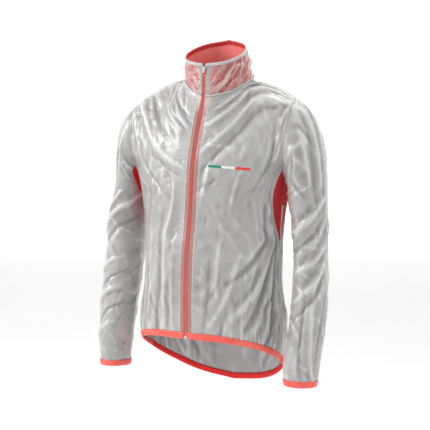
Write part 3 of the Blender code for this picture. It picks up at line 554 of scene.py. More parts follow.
def scattered(spray, span=PANEL_SPAN):
    """Uneven creases round one place: turn is their slope in degrees, fan its spread."""
    random = np.random.default_rng(spray.seed)
    found = []
    for _ in range(spray.count):
        across = spray.across + random.uniform(-1, 1) * spray.spread_across
        up = spray.up + random.uniform(-1, 1) * spray.spread_up
        turn = math.radians(spray.turn + random.normal(0, spray.fan))
        length = spray.length * random.uniform(0.4, 1.5)
        width = spray.width * random.uniform(0.5, 1.4)
        height = spray.height * random.uniform(0.35, 1.3) * (1 if random.random() < 0.6 else -0.8)
        step = np.array([math.cos(turn) / span[0], math.sin(turn) / span[1]])
        step *= length / 2
        bow = random.normal(0, 0.10) * length
        found.append(Crease(
            across - step[0], up - step[1], across + step[0], up + step[1], width, height, bow,
        ))
    return found


def crease_heights(creases, across, up, span):
    """Height of all the creases over the whole of a grid."""
    total = np.zeros_like(across)
    place = np.stack([across * span[0], up * span[1]], axis=-1)
    for crease in creases:
        start = np.array([crease.across0 * span[0], crease.up0 * span[1]])
        line = np.array([crease.across1 * span[0], crease.up1 * span[1]]) - start
        length = np.linalg.norm(line)
        off = place - start
        share = (off @ line) / length**2
        aside = (line[0] * off[..., 1] - line[1] * off[..., 0]) / length
        inside = np.clip(share, 0, 1)
        aside = aside - crease.bow * np.sin(np.pi * inside)
        beyond = np.maximum(0, np.maximum(share - 1, -share)) * length
        fade = np.exp(-(beyond / (1.6 * crease.width))**2)
        fade *= 0.45 + 0.55 * np.sin(np.pi * inside)
        total += crease.height * fade * np.exp(-(np.abs(aside) / crease.width)**1.6)
    return total


def fade_from(shape, rows_low, rows_high, columns_low, columns_high):
    """0 on the edges that are sewn, 1 inside; each size is in fine rows or columns."""
    fade = np.ones(shape)
    rows = np.arange(shape[0])[:, None]
    columns = np.arange(shape[1])[None]
    for steps, position in (
        (rows_low, rows), (rows_high, shape[0] - 1 - rows),
        (columns_low, columns), (columns_high, shape[1] - 1 - columns),
    ):
        if steps:
            fade = fade * smooth_step(0, steps, position)
    return fade


def fine_gathers(across, up, gathers, seed):
    """Uneven gathers above a gathered edge, which run up and die out at various heights."""
    start, reach, count, depth = gathers
    random = np.random.default_rng(seed)
    total = np.zeros_like(across)
    for k in range(count):
        at = start + (1 - start) * (k + random.uniform(0.15, 0.85)) / count
        lean = random.uniform(-0.02, 0.05)
        high = reach * random.uniform(0.35, 1.25)
        width = 0.45 * (1 - start) / count * random.uniform(0.6, 1.3)
        rise = np.clip(up / high, 0, 1)
        off = across - at - lean * rise
        fade = (1 - rise)**1.3
        total += depth * random.uniform(0.5, 1.3) * fade * np.exp(-(off / width)**2)
    return total


# ---------------------------------------------------------------- creases, listed

FINE_FRONT_LEFT = (
    Crease(0.96, 0.505, 0.40, 0.100, 0.0100, 0.0068, 0.020),
    Crease(0.93, 0.470, 0.50, 0.060, 0.0080, -0.0080, 0.018),
    Crease(0.92, 0.440, 0.66, 0.030, 0.0070, 0.0052, 0.012),
    Crease(0.94, 0.420, 0.72, 0.020, 0.0055, -0.0062, 0.010),
    Crease(0.95, 0.400, 0.83, 0.020, 0.0050, 0.0046, 0.005),
    Crease(0.88, 0.500, 0.38, 0.230, 0.0090, -0.0056, 0.016),
    Crease(0.46, 0.330, 0.20, 0.060, 0.0070, 0.0034, 0.010),
    Crease(0.30, 0.440, 0.27, 0.130, 0.0060, 0.0030, -0.004),
    Crease(0.20, 0.300, 0.14, 0.030, 0.0060, -0.0030, 0.004),
    Crease(0.93, 0.860, 0.06, 0.700, 0.0095, 0.0050, -0.026),
    Crease(0.90, 0.830, 0.04, 0.610, 0.0110, -0.0044, -0.024),
    Crease(0.72, 0.905, 0.05, 0.800, 0.0080, 0.0038, -0.014),
    Crease(0.60, 0.950, 0.10, 0.860, 0.0070, -0.0034, -0.008),
    Crease(0.95, 0.930, 0.40, 0.900, 0.0065, 0.0036, 0.006),
    Crease(0.90, 0.960, 0.34, 0.945, 0.0055, -0.0032, 0.004),
    Crease(0.50, 0.640, 0.42, 0.480, 0.0060, 0.0026, 0.004),
    Crease(0.16, 0.660, 0.10, 0.500, 0.0060, 0.0026, 0.003),
    Crease(0.86, 0.780, 0.70, 0.560, 0.0080, -0.0034, 0.008),
)
FINE_FRONT_RIGHT = (
    Crease(0.21, 0.560, 0.20, 0.040, 0.0075, 0.0056, 0.006),
    Crease(0.33, 0.470, 0.31, 0.030, 0.0085, -0.0044, -0.006),
    Crease(0.43, 0.400, 0.41, 0.030, 0.0050, 0.0036, 0.003),
    Crease(0.14, 0.360, 0.12, 0.030, 0.0060, 0.0036, 0.003),
    Crease(0.95, 0.880, 0.10, 0.640, 0.0080, 0.0052, 0.022),
    Crease(0.90, 0.930, 0.22, 0.720, 0.0070, -0.0046, 0.020),
    Crease(0.72, 0.955, 0.14, 0.780, 0.0060, 0.0044, 0.014),
    Crease(0.55, 0.965, 0.12, 0.850, 0.0055, -0.0036, 0.008),
    Crease(0.97, 0.830, 0.45, 0.560, 0.0080, 0.0044, 0.016),
    Crease(0.92, 0.760, 0.30, 0.540, 0.0110, -0.0040, 0.014),
    Crease(0.97, 0.960, 0.70, 0.760, 0.0060, 0.0042, 0.010),
    Crease(0.98, 0.420, 0.64, 0.060, 0.0090, 0.0046, 0.016),
    Crease(0.92, 0.360, 0.74, 0.040, 0.0060, -0.0038, 0.008),
    Crease(0.60, 0.620, 0.55, 0.380, 0.0100, -0.0030, 0.006),
)
FINE_BACK_LEFT = (
    Crease(0.96, 0.500, 0.42, 0.120, 0.0100, 0.0058, 0.018),
    Crease(0.93, 0.440, 0.62, 0.050, 0.0070, -0.0046, 0.012),
    Crease(0.94, 0.400, 0.78, 0.030, 0.0055, 0.0042, 0.006),
    Crease(0.94, 0.900, 0.06, 0.800, 0.0090, 0.0046, -0.020),
    Crease(0.88, 0.840, 0.10, 0.730, 0.0100, -0.0038, -0.016),
    Crease(0.60, 0.960, 0.08, 0.905, 0.0060, 0.0034, -0.006),
    Crease(0.30, 0.520, 0.24, 0.060, 0.0090, -0.0040, 0.008),
    Crease(0.14, 0.420, 0.10, 0.040, 0.0070, 0.0034, 0.004),
)
FINE_BACK_RIGHT = (
    Crease(0.95, 0.460, 0.50, 0.080, 0.0095, 0.0054, 0.016),
    Crease(0.92, 0.400, 0.70, 0.040, 0.0060, -0.0044, 0.008),
    Crease(0.90, 0.940, 0.10, 0.850, 0.0080, -0.0040, 0.014),
    Crease(0.86, 0.880, 0.05, 0.780, 0.0085, 0.0044, 0.016),
    Crease(0.46, 0.560, 0.38, 0.100, 0.0090, 0.0042, 0.010),
    Crease(0.24, 0.360, 0.20, 0.040, 0.0060, -0.0036, 0.004),
)
FINE_SLEEVE_LEFT = (
    Crease(0.07, 0.985, 0.10, 0.640, 0.0060, 0.0050, 0.006),
    Crease(0.13, 0.960, 0.15, 0.600, 0.0070, -0.0048, 0.006),
    Crease(0.02, 0.960, 0.05, 0.560, 0.0050, 0.0038, 0.004),
    Crease(0.20, 0.930, 0.19, 0.700, 0.0050, 0.0038, 0.004),
    Crease(0.34, 0.800, 0.24, 0.660, 0.0060, -0.0036, 0.006),
    Crease(0.08, 0.640, 0.42, 0.520, 0.0065, 0.0052, -0.012),
    Crease(0.10, 0.560, 0.44, 0.450, 0.0060, -0.0046, -0.010),
    Crease(0.04, 0.500, 0.34, 0.380, 0.0060, 0.0046, -0.010),
    Crease(0.07, 0.430, 0.38, 0.270, 0.0075, 0.0052, -0.014),
    Crease(0.10, 0.370, 0.34, 0.220, 0.0060, -0.0044, -0.010),
    Crease(0.19, 0.340, 0.14, 0.040, 0.0070, 0.0056, 0.008),
    Crease(0.26, 0.300, 0.24, 0.040, 0.0060, -0.0046, 0.004),
    Crease(0.06, 0.300, 0.10, 0.050, 0.0055, -0.0040, 0.004),
    Crease(0.60, 0.620, 0.92, 0.520, 0.0070, 0.0046, 0.010),
    Crease(0.62, 0.420, 0.90, 0.320, 0.0070, -0.0042, 0.008),
    Crease(0.70, 0.280, 0.72, 0.050, 0.0060, 0.0042, 0.004),
)
FINE_SLEEVE_RIGHT = (
    Crease(0.95, 0.970, 0.88, 0.620, 0.0055, 0.0048, 0.006),
    Crease(0.05, 0.975, 0.02, 0.640, 0.0055, -0.0044, 0.006),
    Crease(0.12, 0.950, 0.10, 0.680, 0.0050, 0.0040, 0.004),
    Crease(0.05, 0.430, 0.44, 0.640, 0.0070, 0.0062, 0.012),
    Crease(0.07, 0.380, 0.44, 0.560, 0.0065, -0.0050, 0.010),
    Crease(0.12, 0.520, 0.30, 0.660, 0.0055, 0.0040, 0.004),
    Crease(0.08, 0.300, 0.36, 0.400, 0.0050, 0.0040, 0.008),
    Crease(0.12, 0.240, 0.40, 0.350, 0.0048, -0.0040, 0.008),
    Crease(0.08, 0.180, 0.36, 0.290, 0.0050, 0.0044, 0.008),
    Crease(0.14, 0.130, 0.40, 0.230, 0.0048, -0.0040, 0.006),
    Crease(0.10, 0.080, 0.34, 0.150, 0.0048, 0.0040, 0.006),
    Crease(0.62, 0.600, 0.92, 0.500, 0.0070, 0.0046, 0.010),
    Crease(0.64, 0.330, 0.92, 0.240, 0.0065, -0.0042, 0.008),
)
SPRAYS_FRONT_LEFT = (
    Spray(11, 22, 0.44, 0.90, 0.36, 0.07, 14, 16, 0.060, 0.0042, 0.0016),
    Spray(12, 16, 0.76, 0.14, 0.20, 0.12, 66, 10, 0.090, 0.0045, 0.0024),
    Spray(13, 12, 0.30, 0.14, 0.28, 0.12, 84, 10, 0.080, 0.0050, 0.0017),
    Spray(14, 12, 0.50, 0.66, 0.44, 0.16, 30, 20, 0.080, 0.0060, 0.0016),
    Spray(15, 12, 0.90, 0.74, 0.08, 0.10, 20, 40, 0.035, 0.0045, 0.0022),
)
SPRAYS_FRONT_RIGHT = (
    Spray(21, 24, 0.50, 0.88, 0.38, 0.08, 40, 16, 0.065, 0.0042, 0.0022),
    Spray(22, 14, 0.30, 0.22, 0.26, 0.18, 88, 8, 0.110, 0.0048, 0.0018),
    Spray(23, 12, 0.76, 0.20, 0.20, 0.16, 74, 14, 0.090, 0.0050, 0.0020),
    Spray(24, 14, 0.56, 0.68, 0.38, 0.14, 34, 18, 0.080, 0.0050, 0.0020),
)
SPRAYS_BACK = (
    Spray(31, 22, 0.46, 0.88, 0.42, 0.08, -14, 22, 0.070, 0.0055, 0.0022),
    Spray(32, 22, 0.62, 0.16, 0.32, 0.14, 72, 18, 0.085, 0.0055, 0.0028),
    Spray(33, 24, 0.42, 0.52, 0.42, 0.22, 10, 60, 0.070, 0.0060, 0.0018),
)
SPRAYS_SLEEVE = (
    Spray(41, 26, 0.50, 0.88, 0.50, 0.10, 84, 14, 0.075, 0.0048, 0.0026),
    Spray(42, 40, 0.50, 0.50, 0.50, 0.20, -30, 34, 0.060, 0.0044, 0.0020),
    Spray(43, 52, 0.50, 0.20, 0.50, 0.20, 34, 26, 0.045, 0.0036, 0.0019),
)


# ---------------------------------------------------------------- cloth as fine grids

class Cloth:
    """A piece's fine grid of points, with each point's shares across and up."""

    def __init__(self, points, across, up, span):
        self.points = points
        self.across = across
        self.up = up
        self.span = span

    def raise_by(self, heights):
        self.points = self.points + grid_normals(self.points) * heights[..., None]


EASE_PASSES = 60             # how often each row is averaged with its neighbours
EASE_ROWS = 9                # fine rows from the top edge to the full effect


def fine_half_panel(is_front, side):
    """Half a panel from the middle out to the side, on the +X side, without its folds."""
    rows = np.array(half_panel(is_front, side))
    count = FRONT_COLUMNS if is_front else BACK_COLUMNS
    points = eased(finer(finer(rows, UP_STEPS, 0), ACROSS_STEPS, 1))
    shares = finer(across_shares(count), ACROSS_STEPS)
    up = np.linspace(0, 1, len(points))
    across, up = np.meshgrid(shares, up)
    return Cloth(points, across, up, PANEL_SPAN)


def eased(points):
    """The same grid with the bend below the neck's corner made soft; its edges stay."""
    soft = points.copy()
    for _ in range(EASE_PASSES):
        soft[:, 1:-1] += 0.25 * (soft[:, :-2] + soft[:, 2:] - 2 * soft[:, 1:-1])
    rows = np.arange(len(points))[:, None, None]
    return points + (soft - points) * smooth_step(0, EASE_ROWS, len(points) - 1 - rows)


def crumple(cloth, cells, seed, depth):
    """Facets of a crisp film: noise whose folds at zero are sharp."""
    shape = cloth.points.shape[:2]
    coarse = soft_noise(shape, cells, seed)
    fine = soft_noise(shape, (cells[0] * 2, cells[1] * 2), seed + 1)
    strength = smooth_step(-0.5, 0.7, soft_noise(shape, (4, 4), seed + 2))
    return -depth * (np.abs(coarse) + 0.5 * np.abs(fine) * strength)


def fold_cloth(cloth, table, sprays, gathers, seed, fades):
    """Heights of a panel's creases, crumples and gathers, which fade out at its seams."""
    creases = list(table)
    for spray in sprays:
        creases += scattered(spray)
    heights = crease_heights(creases, cloth.across, cloth.up, cloth.span)
    heights += crumple(cloth, (20, 12), seed, CRUMPLE_DEPTH)
    heights += fine_gathers(cloth.across, cloth.up, gathers, seed)
    return heights * fade_from(heights.shape, *fades)


def front_cloth(side):
    cloth = fine_half_panel(True, side)
    left = side > 0
    heights = fold_cloth(
        cloth, FINE_FRONT_LEFT if left else FINE_FRONT_RIGHT,
        SPRAYS_FRONT_LEFT if left else SPRAYS_FRONT_RIGHT,
        FRONT_GATHERS, 100 + left, FRONT_FADES,
    )
    cloth.raise_by(heights)
    return cloth


def back_cloth():
    halves = []
    for side in (1, -1):
        cloth = fine_half_panel(False, side)
        cloth.points = cloth.points[:, ::-1]
        cloth.across = cloth.across[:, ::-1]
        heights = fold_cloth(
            cloth, FINE_BACK_LEFT if side > 0 else FINE_BACK_RIGHT,
            SPRAYS_BACK, BACK_GATHERS, 110 + side, BACK_FADES,
        )
        heights *= 1 - 0.6 * smooth_step(0.08, 0.0, cloth.across)
        raised = cloth.points + grid_normals(cloth.points) * heights[..., None]
        blend = smooth_step(0.0, 0.10, cloth.across)[..., None]
        cloth.points = cloth.points * (1 - blend) + raised * blend
        cloth.points = mirrored(cloth.points, side)
        halves.append(cloth)
    left, right = halves
    points = np.concatenate([left.points, right.points[:, -2::-1]], axis=1)
    across = np.concatenate([left.across, -right.across[:, -2::-1]], axis=1)
    up = np.concatenate([left.up, right.up[:, -2::-1]], axis=1)
    return Cloth(points, across, up, PANEL_SPAN)


def fine_gusset(side, front, back):
    """Leaf between the fine edges of a front and the back."""
    low = ROWS_BELOW_TIP * UP_STEPS
    high = (ROWS_BELOW_TIP + ROWS_BESIDE_GUSSET) * UP_STEPS
    front_edge = front[low:high + 1, -1]
    back_edge = back[low:high + 1, 0 if side > 0 else -1]
    back_edge = mirrored(back_edge, side)
    shares = np.linspace(0, 1, GUSSET_COLUMNS * UP_STEPS + 1)
    start = turn_at_gusset(True)
    end = turn_at_gusset(False)
    arc = np.array([armhole_point(start + (end - start) * share) for share in shares])
    up = np.linspace(0, 1, high - low + 1)[:, None, None]
    shares = shares[None, :, None]
    flat = front_edge[:, None] * (1 - shares) + back_edge[:, None] * shares
    bulge = np.sin(math.pi * shares) * up * (1 - up) * np.array([GUSSET_BULGE, 0, 0])
    points = flat + bulge + (arc[None] - flat[-1:]) * up**3
    across, rise = np.meshgrid(shares[0, :, 0], up[:, 0, 0])
    return Cloth(points, across, rise, (0.10, 0.20))


def fine_loop(side, front, back, gusset):
    """The armhole's fine points, from the shoulder down the front and up the back."""
    high = (ROWS_BELOW_TIP + ROWS_BESIDE_GUSSET) * UP_STEPS
    front_edge = front[high:, -1]
    back_edge = mirrored(back[high:, 0 if side > 0 else -1], side)
    return np.concatenate([front_edge[::-1], gusset[-1, 1:-1], back_edge[:-1]])


def sleeve_cloth(side, loop):
    """A sleeve on the +X side, with its columns going round from the shoulder."""
    coarse = plain_sleeve(side, loop[::UP_STEPS])
    points = finer(finer(coarse, UP_STEPS, 0), UP_STEPS, 1, closed=True)
    shape = points.shape[:2]
    up = np.linspace(0, 1, shape[0])
    across, up = np.meshgrid(np.arange(shape[1]) / shape[1], up)
    points = points + (loop - points[-1]) * smooth_step(0.85, 1.0, up)[..., None]
    cloth = Cloth(points, across, up, SLEEVE_SPAN)
    table = FINE_SLEEVE_LEFT if side > 0 else FINE_SLEEVE_RIGHT
    creases = list(table)
    for spray in SPRAYS_SLEEVE:
        creases += scattered(spray._replace(seed=spray.seed + 10 * (side < 0)))
    heights = np.zeros(shape)
    for turn in (-1, 0, 1):
        heights += crease_heights(creases, across + turn, up, SLEEVE_SPAN)
    seam = smooth_step(0, 0.05, across) * smooth_step(1, 0.95, across)
    crumpled = crumple(cloth, (24, 14), 120 + side, CRUMPLE_DEPTH)
    heights += crumpled * seam + crumpled.mean() * (1 - seam)
    heights += fine_gathers(across, up, SLEEVE_GATHERS, 130 + side) * seam
    heights *= fade_from(shape, *SLEEVE_FADES)
    normals = grid_normals(points[:, ::-1], closed=True)[:, ::-1]
    cloth.points = points + normals * heights[..., None]
    return cloth


# ---------------------------------------------------------------- objects

def on_jacket(piece, slot_name, *replaced):
    """Puts a piece on the jacket's body and hides the solids that it stands for; slot_name is not
    used.
    """
    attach(piece, "jacket")
    if replaced:
        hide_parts(*replaced)


RELIEF_REACH = 3             # fine rows and columns over which a crease is measured
RELIEF_DEPTH = 0.0015        # a crease this deep over that reach gets the full painted shade
RELIEF_LEAST = 12            # narrower grids than this have no relief


def relief_of(points, closed=False):
    """-1 in a trough to 1 on a ridge, from how the cloth lies against its surroundings."""
    normals = grid_normals(points, closed)
    total = np.zeros(points.shape[:2])
    for reach in (RELIEF_REACH, 2 * RELIEF_REACH):
        if closed:
            wide = np.concatenate([points[:, -reach:], points, points[:, :reach]], axis=1)
        else:
            wide = np.pad(points, ((0, 0), (reach, reach), (0, 0)), "reflect", reflect_type="odd")
        tall = np.pad(points, ((reach, reach), (0, 0), (0, 0)), "reflect", reflect_type="odd")
        around = (wide[:, 2 * reach:] + wide[:, :-2 * reach]) / 2
        around = (around + (tall[2 * reach:] + tall[:-2 * reach]) / 2) / 2
        total += np.sum((points - around) * normals, axis=2)
    total -= np.median(total)
    return np.clip(total / (2 * RELIEF_DEPTH), -1, 1)


def mesh_object(name, points, faces, material, uv=None, smooth=True, relief=None):
    """A mesh from a grid or list of points; uv and relief go with the points."""
    mesh = bpy.data.meshes.new(name)
    mesh.from_pydata(np.asarray(points).reshape(-1, 3).tolist(), [], faces)
    if smooth:
        mesh.shade_smooth()
    if uv is not None:
        layer = mesh.uv_layers.new(name="cloth")
        corners = np.zeros(len(mesh.loops), int)
        mesh.loops.foreach_get("vertex_index", corners)
        layer.uv.foreach_set("vector", uv.reshape(-1, 2)[corners].astype(np.float32).ravel())
    if relief is not None:
        attribute = mesh.attributes.new("relief", "FLOAT", "POINT")
        attribute.data.foreach_set("value", relief.astype(np.float32).ravel())
    mesh.materials.append(material)
    piece = bpy.data.objects.new(name, mesh)
    bpy.context.scene.collection.objects.link(piece)
    return piece


def grid_faces(row_count, column_count, closed=False):
    index = np.arange(row_count * column_count).reshape(row_count, column_count)
    if closed:
        index = np.concatenate([index, index[:, :1]], axis=1)
    faces = np.stack([index[:-1, :-1], index[:-1, 1:], index[1:, 1:], index[1:, :-1]], axis=-1)
    return faces.reshape(-1, 4).tolist()


def shell(name, points, material, wall, uv=None, closed=False, offset=-1.0):
    """A grid as a thin closed shell whose wall goes inwards."""
    faces = grid_faces(*points.shape[:2], closed)
    relief = relief_of(points, closed) if min(points.shape[:2]) > RELIEF_LEAST else None
    piece = mesh_object(name, points, faces, material, uv, relief=relief)
    solidify = piece.modifiers.new("wall", "SOLIDIFY")
    solidify.thickness = wall
    solidify.offset = offset
    return piece


STITCH_PITCH = 0.0026
STITCH_SHARE = 0.62          # of the pitch that a stitch takes up
STITCH_RADIUS = 0.00022


def tube(name, path, radius, material, sides=8):
    """A round cord along a path, with flat ends."""
    path = np.asarray(path, float)
    along = unit_rows(np.gradient(path, axis=0))
    aside = unit_rows(np.cross(along, np.array([0.31, 0.42, 0.85])))
    third = np.cross(along, aside)
    turns = np.linspace(0, 2 * math.pi, sides, endpoint=False)
    ring = [aside * math.cos(turn) + third * math.sin(turn) for turn in turns]
    points = path[:, None] + radius * np.stack(ring, axis=1)
    faces = grid_faces(len(path), sides, closed=True)
    faces.append(list(range(sides))[::-1])
    last = (len(path) - 1) * sides
    faces.append([last + k for k in range(sides)])
    return mesh_object(name, points, faces, material)


def stitches(name, lines, material):
    """Sewn lines: short raised stitches along paths of points with outward normals."""
    points = []
    faces = []
    for path, normals in lines:
        lengths = np.pad(np.cumsum(np.linalg.norm(np.diff(path, axis=0), axis=1)), (1, 0))
        count = int(lengths[-1] / STITCH_PITCH)
        for k in range(count):
            ends = np.array([k, k + STITCH_SHARE]) * STITCH_PITCH
            centre = np.stack([np.interp(ends, lengths, path[:, i]) for i in range(3)], axis=1)
            out = np.stack([np.interp(ends, lengths, normals[:, i]) for i in range(3)], axis=1)
            along = unit(centre[1] - centre[0])
            aside = unit(np.cross(along, out[0]))
            base = len(points)
            for at, normal in zip(centre, out):
                points.append(at + aside * STITCH_RADIUS)
                points.append(at + normal * STITCH_RADIUS * 1.4)
                points.append(at - aside * STITCH_RADIUS)
                points.append(at - normal * STITCH_RADIUS)
            for i in range(4):
                j = (i + 1) % 4
                faces.append([base + i, base + j, base + 4 + j, base + 4 + i])
            faces.append([base + 3, base + 2, base + 1, base])
            faces.append([base + 4, base + 5, base + 6, base + 7])
    return mesh_object(name, points, faces, material)


BAND_PUFF = 0.0004           # how far a tape stands out between its edge and its fold


def band_rows(points, normals, height, gap, steps, inner=None):
    """Rows of a tape folded round a fine edge: up the inside, round it, up the outside."""
    inner = gap + SHELL if inner is None else inner
    up = np.cumsum(np.linalg.norm(np.diff(points, axis=0), axis=2), axis=0)
    up = np.pad(up, ((1, 0), (0, 0)))
    inside = []
    outside = []
    for share in np.linspace(1, 0, steps):
        row = np.zeros_like(points[0])
        normal = np.zeros_like(points[0])
        for column in range(points.shape[1]):
            at = share * height
            for axis in range(3):
                row[column, axis] = np.interp(at, up[:, column], points[:, column, axis])
                normal[column, axis] = np.interp(at, up[:, column], normals[:, column, axis])
        puff = BAND_PUFF * math.sin(math.pi * share)
        inside.append(row - normal * (inner + puff))
        outside.append(row + normal * (gap + puff))
    run = unit_rows(points[1] - points[0])
    turn = (inside[-1] + outside[-1]) / 2 - run * (gap + BAND_PUFF)
    return np.array(inside + [turn] + outside[::-1])


# ---------------------------------------------------------------- materials

class Surface:
    """A Principled material with its textures, which are in metres of the row's frame."""

    def __init__(self, name, colour, roughness, **settings):
        self.material = bpy.data.materials.new(name)
        self.material.use_nodes = True
        self.tree = self.material.node_tree
        self.shader = self.tree.nodes["Principled BSDF"]
        self.shader.inputs["Base Color"].default_value = (*colour, 1.0)
        self.shader.inputs["Roughness"].default_value = roughness
        for socket, value in settings.items():
            self.shader.inputs[socket.replace("_", " ")].default_value = value
        self.place = self.node("ShaderNodeTexCoord").outputs["Object"]
        self.bump = None

    def node(self, kind, **settings):
        made = self.tree.nodes.new(kind)
        for key, value in settings.items():
            setattr(made, key, value)
        return made

    def link(self, start, end):
        self.tree.links.new(start, end)

    def math(self, operation, first, second=None, third=None):
        made = self.node("ShaderNodeMath", operation=operation)
        for socket, value in zip(made.inputs, (first, second, third)):
            if value is None:
                continue
            if isinstance(value, (int, float)):
                socket.default_value = value
            else:
                self.link(value, socket)
        return made.outputs[0]

    def noise(self, scale, detail=3.0, stretch=(1, 1, 1), distortion=0.0):
        mapping = self.node("ShaderNodeMapping")
        mapping.inputs["Scale"].default_value = stretch
        self.link(self.place, mapping.inputs["Vector"])
        made = self.node("ShaderNodeTexNoise")
        made.inputs["Scale"].default_value = scale
        made.inputs["Detail"].default_value = detail
        made.inputs["Distortion"].default_value = distortion
        self.link(mapping.outputs["Vector"], made.inputs["Vector"])
        return made.outputs[0]

    def uv(self):
        place = self.node("ShaderNodeUVMap", uv_map="cloth").outputs["UV"]
        split = self.node("ShaderNodeSeparateXYZ")
        self.link(place, split.inputs[0])
        return split.outputs["X"], split.outputs["Y"]

    def mix(self, factor, first, second):
        made = self.node("ShaderNodeMix", data_type="RGBA")
        colours = [socket for socket in made.inputs if socket.type == "RGBA"]
        self.link(factor, made.inputs[0])
        for socket, value in zip(colours, (first, second)):
            if isinstance(value, tuple):
                socket.default_value = (*value, 1.0)
            else:
                self.link(value, socket)
        return [socket for socket in made.outputs if socket.type == "RGBA"][0]

    def span(self, value, low, high, to_low, to_high):
        made = self.node("ShaderNodeMapRange")
        for socket, number in zip(made.inputs[1:5], (low, high, to_low, to_high)):
            socket.default_value = number
        self.link(value, made.inputs[0])
        return made.outputs[0]

    def set(self, socket, value):
        self.link(value, self.shader.inputs[socket])

    def raised(self, height, distance):
        """Add a bump; several are chained."""
        made = self.node("ShaderNodeBump")
        made.inputs["Distance"].default_value = distance
        self.link(height, made.inputs["Height"])
        if self.bump is not None:
            self.link(self.bump, made.inputs["Normal"])
        self.bump = made.outputs["Normal"]
        self.link(self.bump, self.shader.inputs["Normal"])


def paint_crease_shade_and_highlight(surface, tone, dark, light):
    """Painted shade in the cloth's troughs and painted highlight on its ridges, from the relief
    measured on the grid.
    """
    relief = surface.node("ShaderNodeAttribute", attribute_name="relief").outputs["Fac"]
    # relief below -0.12 mixes in the painted shade colour, above 0.15 the painted highlight colour
    low = surface.span(relief, -1.0, -0.12, 1.0, 0.0)
    high = surface.span(relief, 0.15, 1.0, 0.0, 1.0)
    tone = surface.mix(low, tone, dark)
    return surface.mix(high, tone, light)


def crinkle(surface, strength=1.0):
    """Fine creases of a crisp film."""
    first = surface.noise(95, 4.0, distortion=0.6)
    folded = surface.math("ABSOLUTE", surface.math("SUBTRACT", first, 0.5))
    surface.raised(folded, 0.0022 * strength)
    second = surface.noise(300, 3.0, distortion=0.4)
    folded = surface.math("ABSOLUTE", surface.math("SUBTRACT", second, 0.5))
    surface.raised(folded, 0.0007 * strength)


def band(surface, value, centre, half, soft):
    """1 within a band of a coordinate, 0 outside it."""
    off = surface.math("ABSOLUTE", surface.math("SUBTRACT", value, centre))
    return surface.span(off, half, half + soft, 1.0, 0.0)


# ---------------------------------------------------------------- finishes

FILM = (0.50, 0.495, 0.49)
PALE = (0.64, 0.635, 0.63)
CORAL = (0.93, 0.10, 0.075)
CORAL_PALE = (0.95, 0.28, 0.24)
MESH_RED = (0.72, 0.020, 0.020)
RIBS = 900                   # ribs, and knitted columns, to the metre
KNIT = 700


def film_surface(name, zip_side=False):
    """Glossy film; on a front, with the strip over the zip's tape along its inner edge."""
    surface = Surface(
        name, FILM, 0.26, Specular_IOR_Level=0.62, Coat_Weight=0.35, Coat_Roughness=0.16,
        Sheen_Weight=0.30, Sheen_Roughness=0.30,
    )
    cloud = surface.noise(7, 3.0, distortion=0.4)
    cloud = surface.span(cloud, 0.35, 0.65, 0, 1)
    tone = surface.mix(cloud, (0.385, 0.378, 0.375), (0.48, 0.475, 0.470))
    # painted shade in the film's troughs and painted highlight on its ridges
    tone = paint_crease_shade_and_highlight(surface, tone, (0.285, 0.280, 0.277), (0.63, 0.63, 0.625))
    if zip_side:
        out, up = surface.uv()
        strip = surface.span(out, 0.0112, 0.0120, 1.0, 0.0)
        high = surface.span(up, 0.535, 0.565, 0.0, 1.0)
        dots = surface.node("ShaderNodeTexVoronoi")
        dots.inputs["Scale"].default_value = 620
        net = surface.span(dots.outputs["Distance"], 0.1, 0.7, 0.0, 1.0)
        low_colour = surface.mix(net, (0.52, 0.235, 0.215), (0.40, 0.20, 0.185))
        colour = surface.mix(high, low_colour, (0.66, 0.50, 0.48))
        tone = surface.mix(strip, tone, colour)
        edge = band(surface, out, 0.0122, 0.0006, 0.0003)
        tone = surface.mix(edge, tone, (0.70, 0.68, 0.67))
    surface.set("Base Color", tone)
    rough = surface.noise(22, 3.0)
    surface.set("Roughness", surface.span(rough, 0.3, 0.7, 0.18, 0.40))
    crinkle(surface)
    return surface.material


def collar_surface():
    """Film over the coral lining, which shows where the film lies on it."""
    surface = Surface("collar_film", FILM, 0.28, Specular_IOR_Level=0.6, Coat_Weight=0.3)
    place = surface.node("ShaderNodeUVMap", uv_map="cloth").outputs["UV"]
    leaning = surface.node("ShaderNodeMapping")
    leaning.inputs["Rotation"].default_value = (0, 0, math.radians(-36))
    surface.link(place, leaning.inputs["Vector"])
    turned = surface.node("ShaderNodeMapping")
    turned.inputs["Scale"].default_value = (1.0, 4.2, 1.0)
    surface.link(leaning.outputs["Vector"], turned.inputs["Vector"])
    creases = surface.node("ShaderNodeTexNoise")
    creases.inputs["Scale"].default_value = 34
    creases.inputs["Detail"].default_value = 4.0
    creases.inputs["Distortion"].default_value = 0.5
    surface.link(turned.outputs["Vector"], creases.inputs["Vector"])
    height = creases.outputs[0]
    touch = surface.span(height, 0.34, 0.60, 0.0, 1.0)
    out, _ = surface.uv()
    tone = surface.mix(touch, (0.50, 0.37, 0.355), (0.66, 0.20, 0.18))
    # painted shade in the collar's troughs and painted highlight on its ridges
    tone = paint_crease_shade_and_highlight(surface, tone, (0.46, 0.11, 0.10), (0.68, 0.52, 0.50))
    tape = surface.span(out, 0.0105, 0.0125, 1.0, 0.0)
    tone = surface.mix(tape, tone, (0.44, 0.40, 0.385))
    surface.set("Base Color", tone)
    surface.raised(height, 0.0060)
    crinkle(surface, 0.7)
    return surface.material


def woven_surface(name, colour, second, roughness):
    """Tape with ribs along it and a knitted surface."""
    surface = Surface(name, colour, roughness)
    across, up = surface.uv()
    rib = surface.math("SINE", surface.math("MULTIPLY", up, RIBS * 2 * math.pi))
    knit = surface.math("SINE", surface.math("MULTIPLY", across, KNIT * 2 * math.pi))
    both = surface.math("MULTIPLY", rib, knit)
    cloud = surface.span(surface.noise(30, 2.0), 0.35, 0.65, 0.0, 1.0)
    surface.set("Base Color", surface.mix(cloud, colour, second))
    surface.raised(surface.math("MULTIPLY_ADD", both, 0.5, 0.5), 0.00005)
    return surface.material


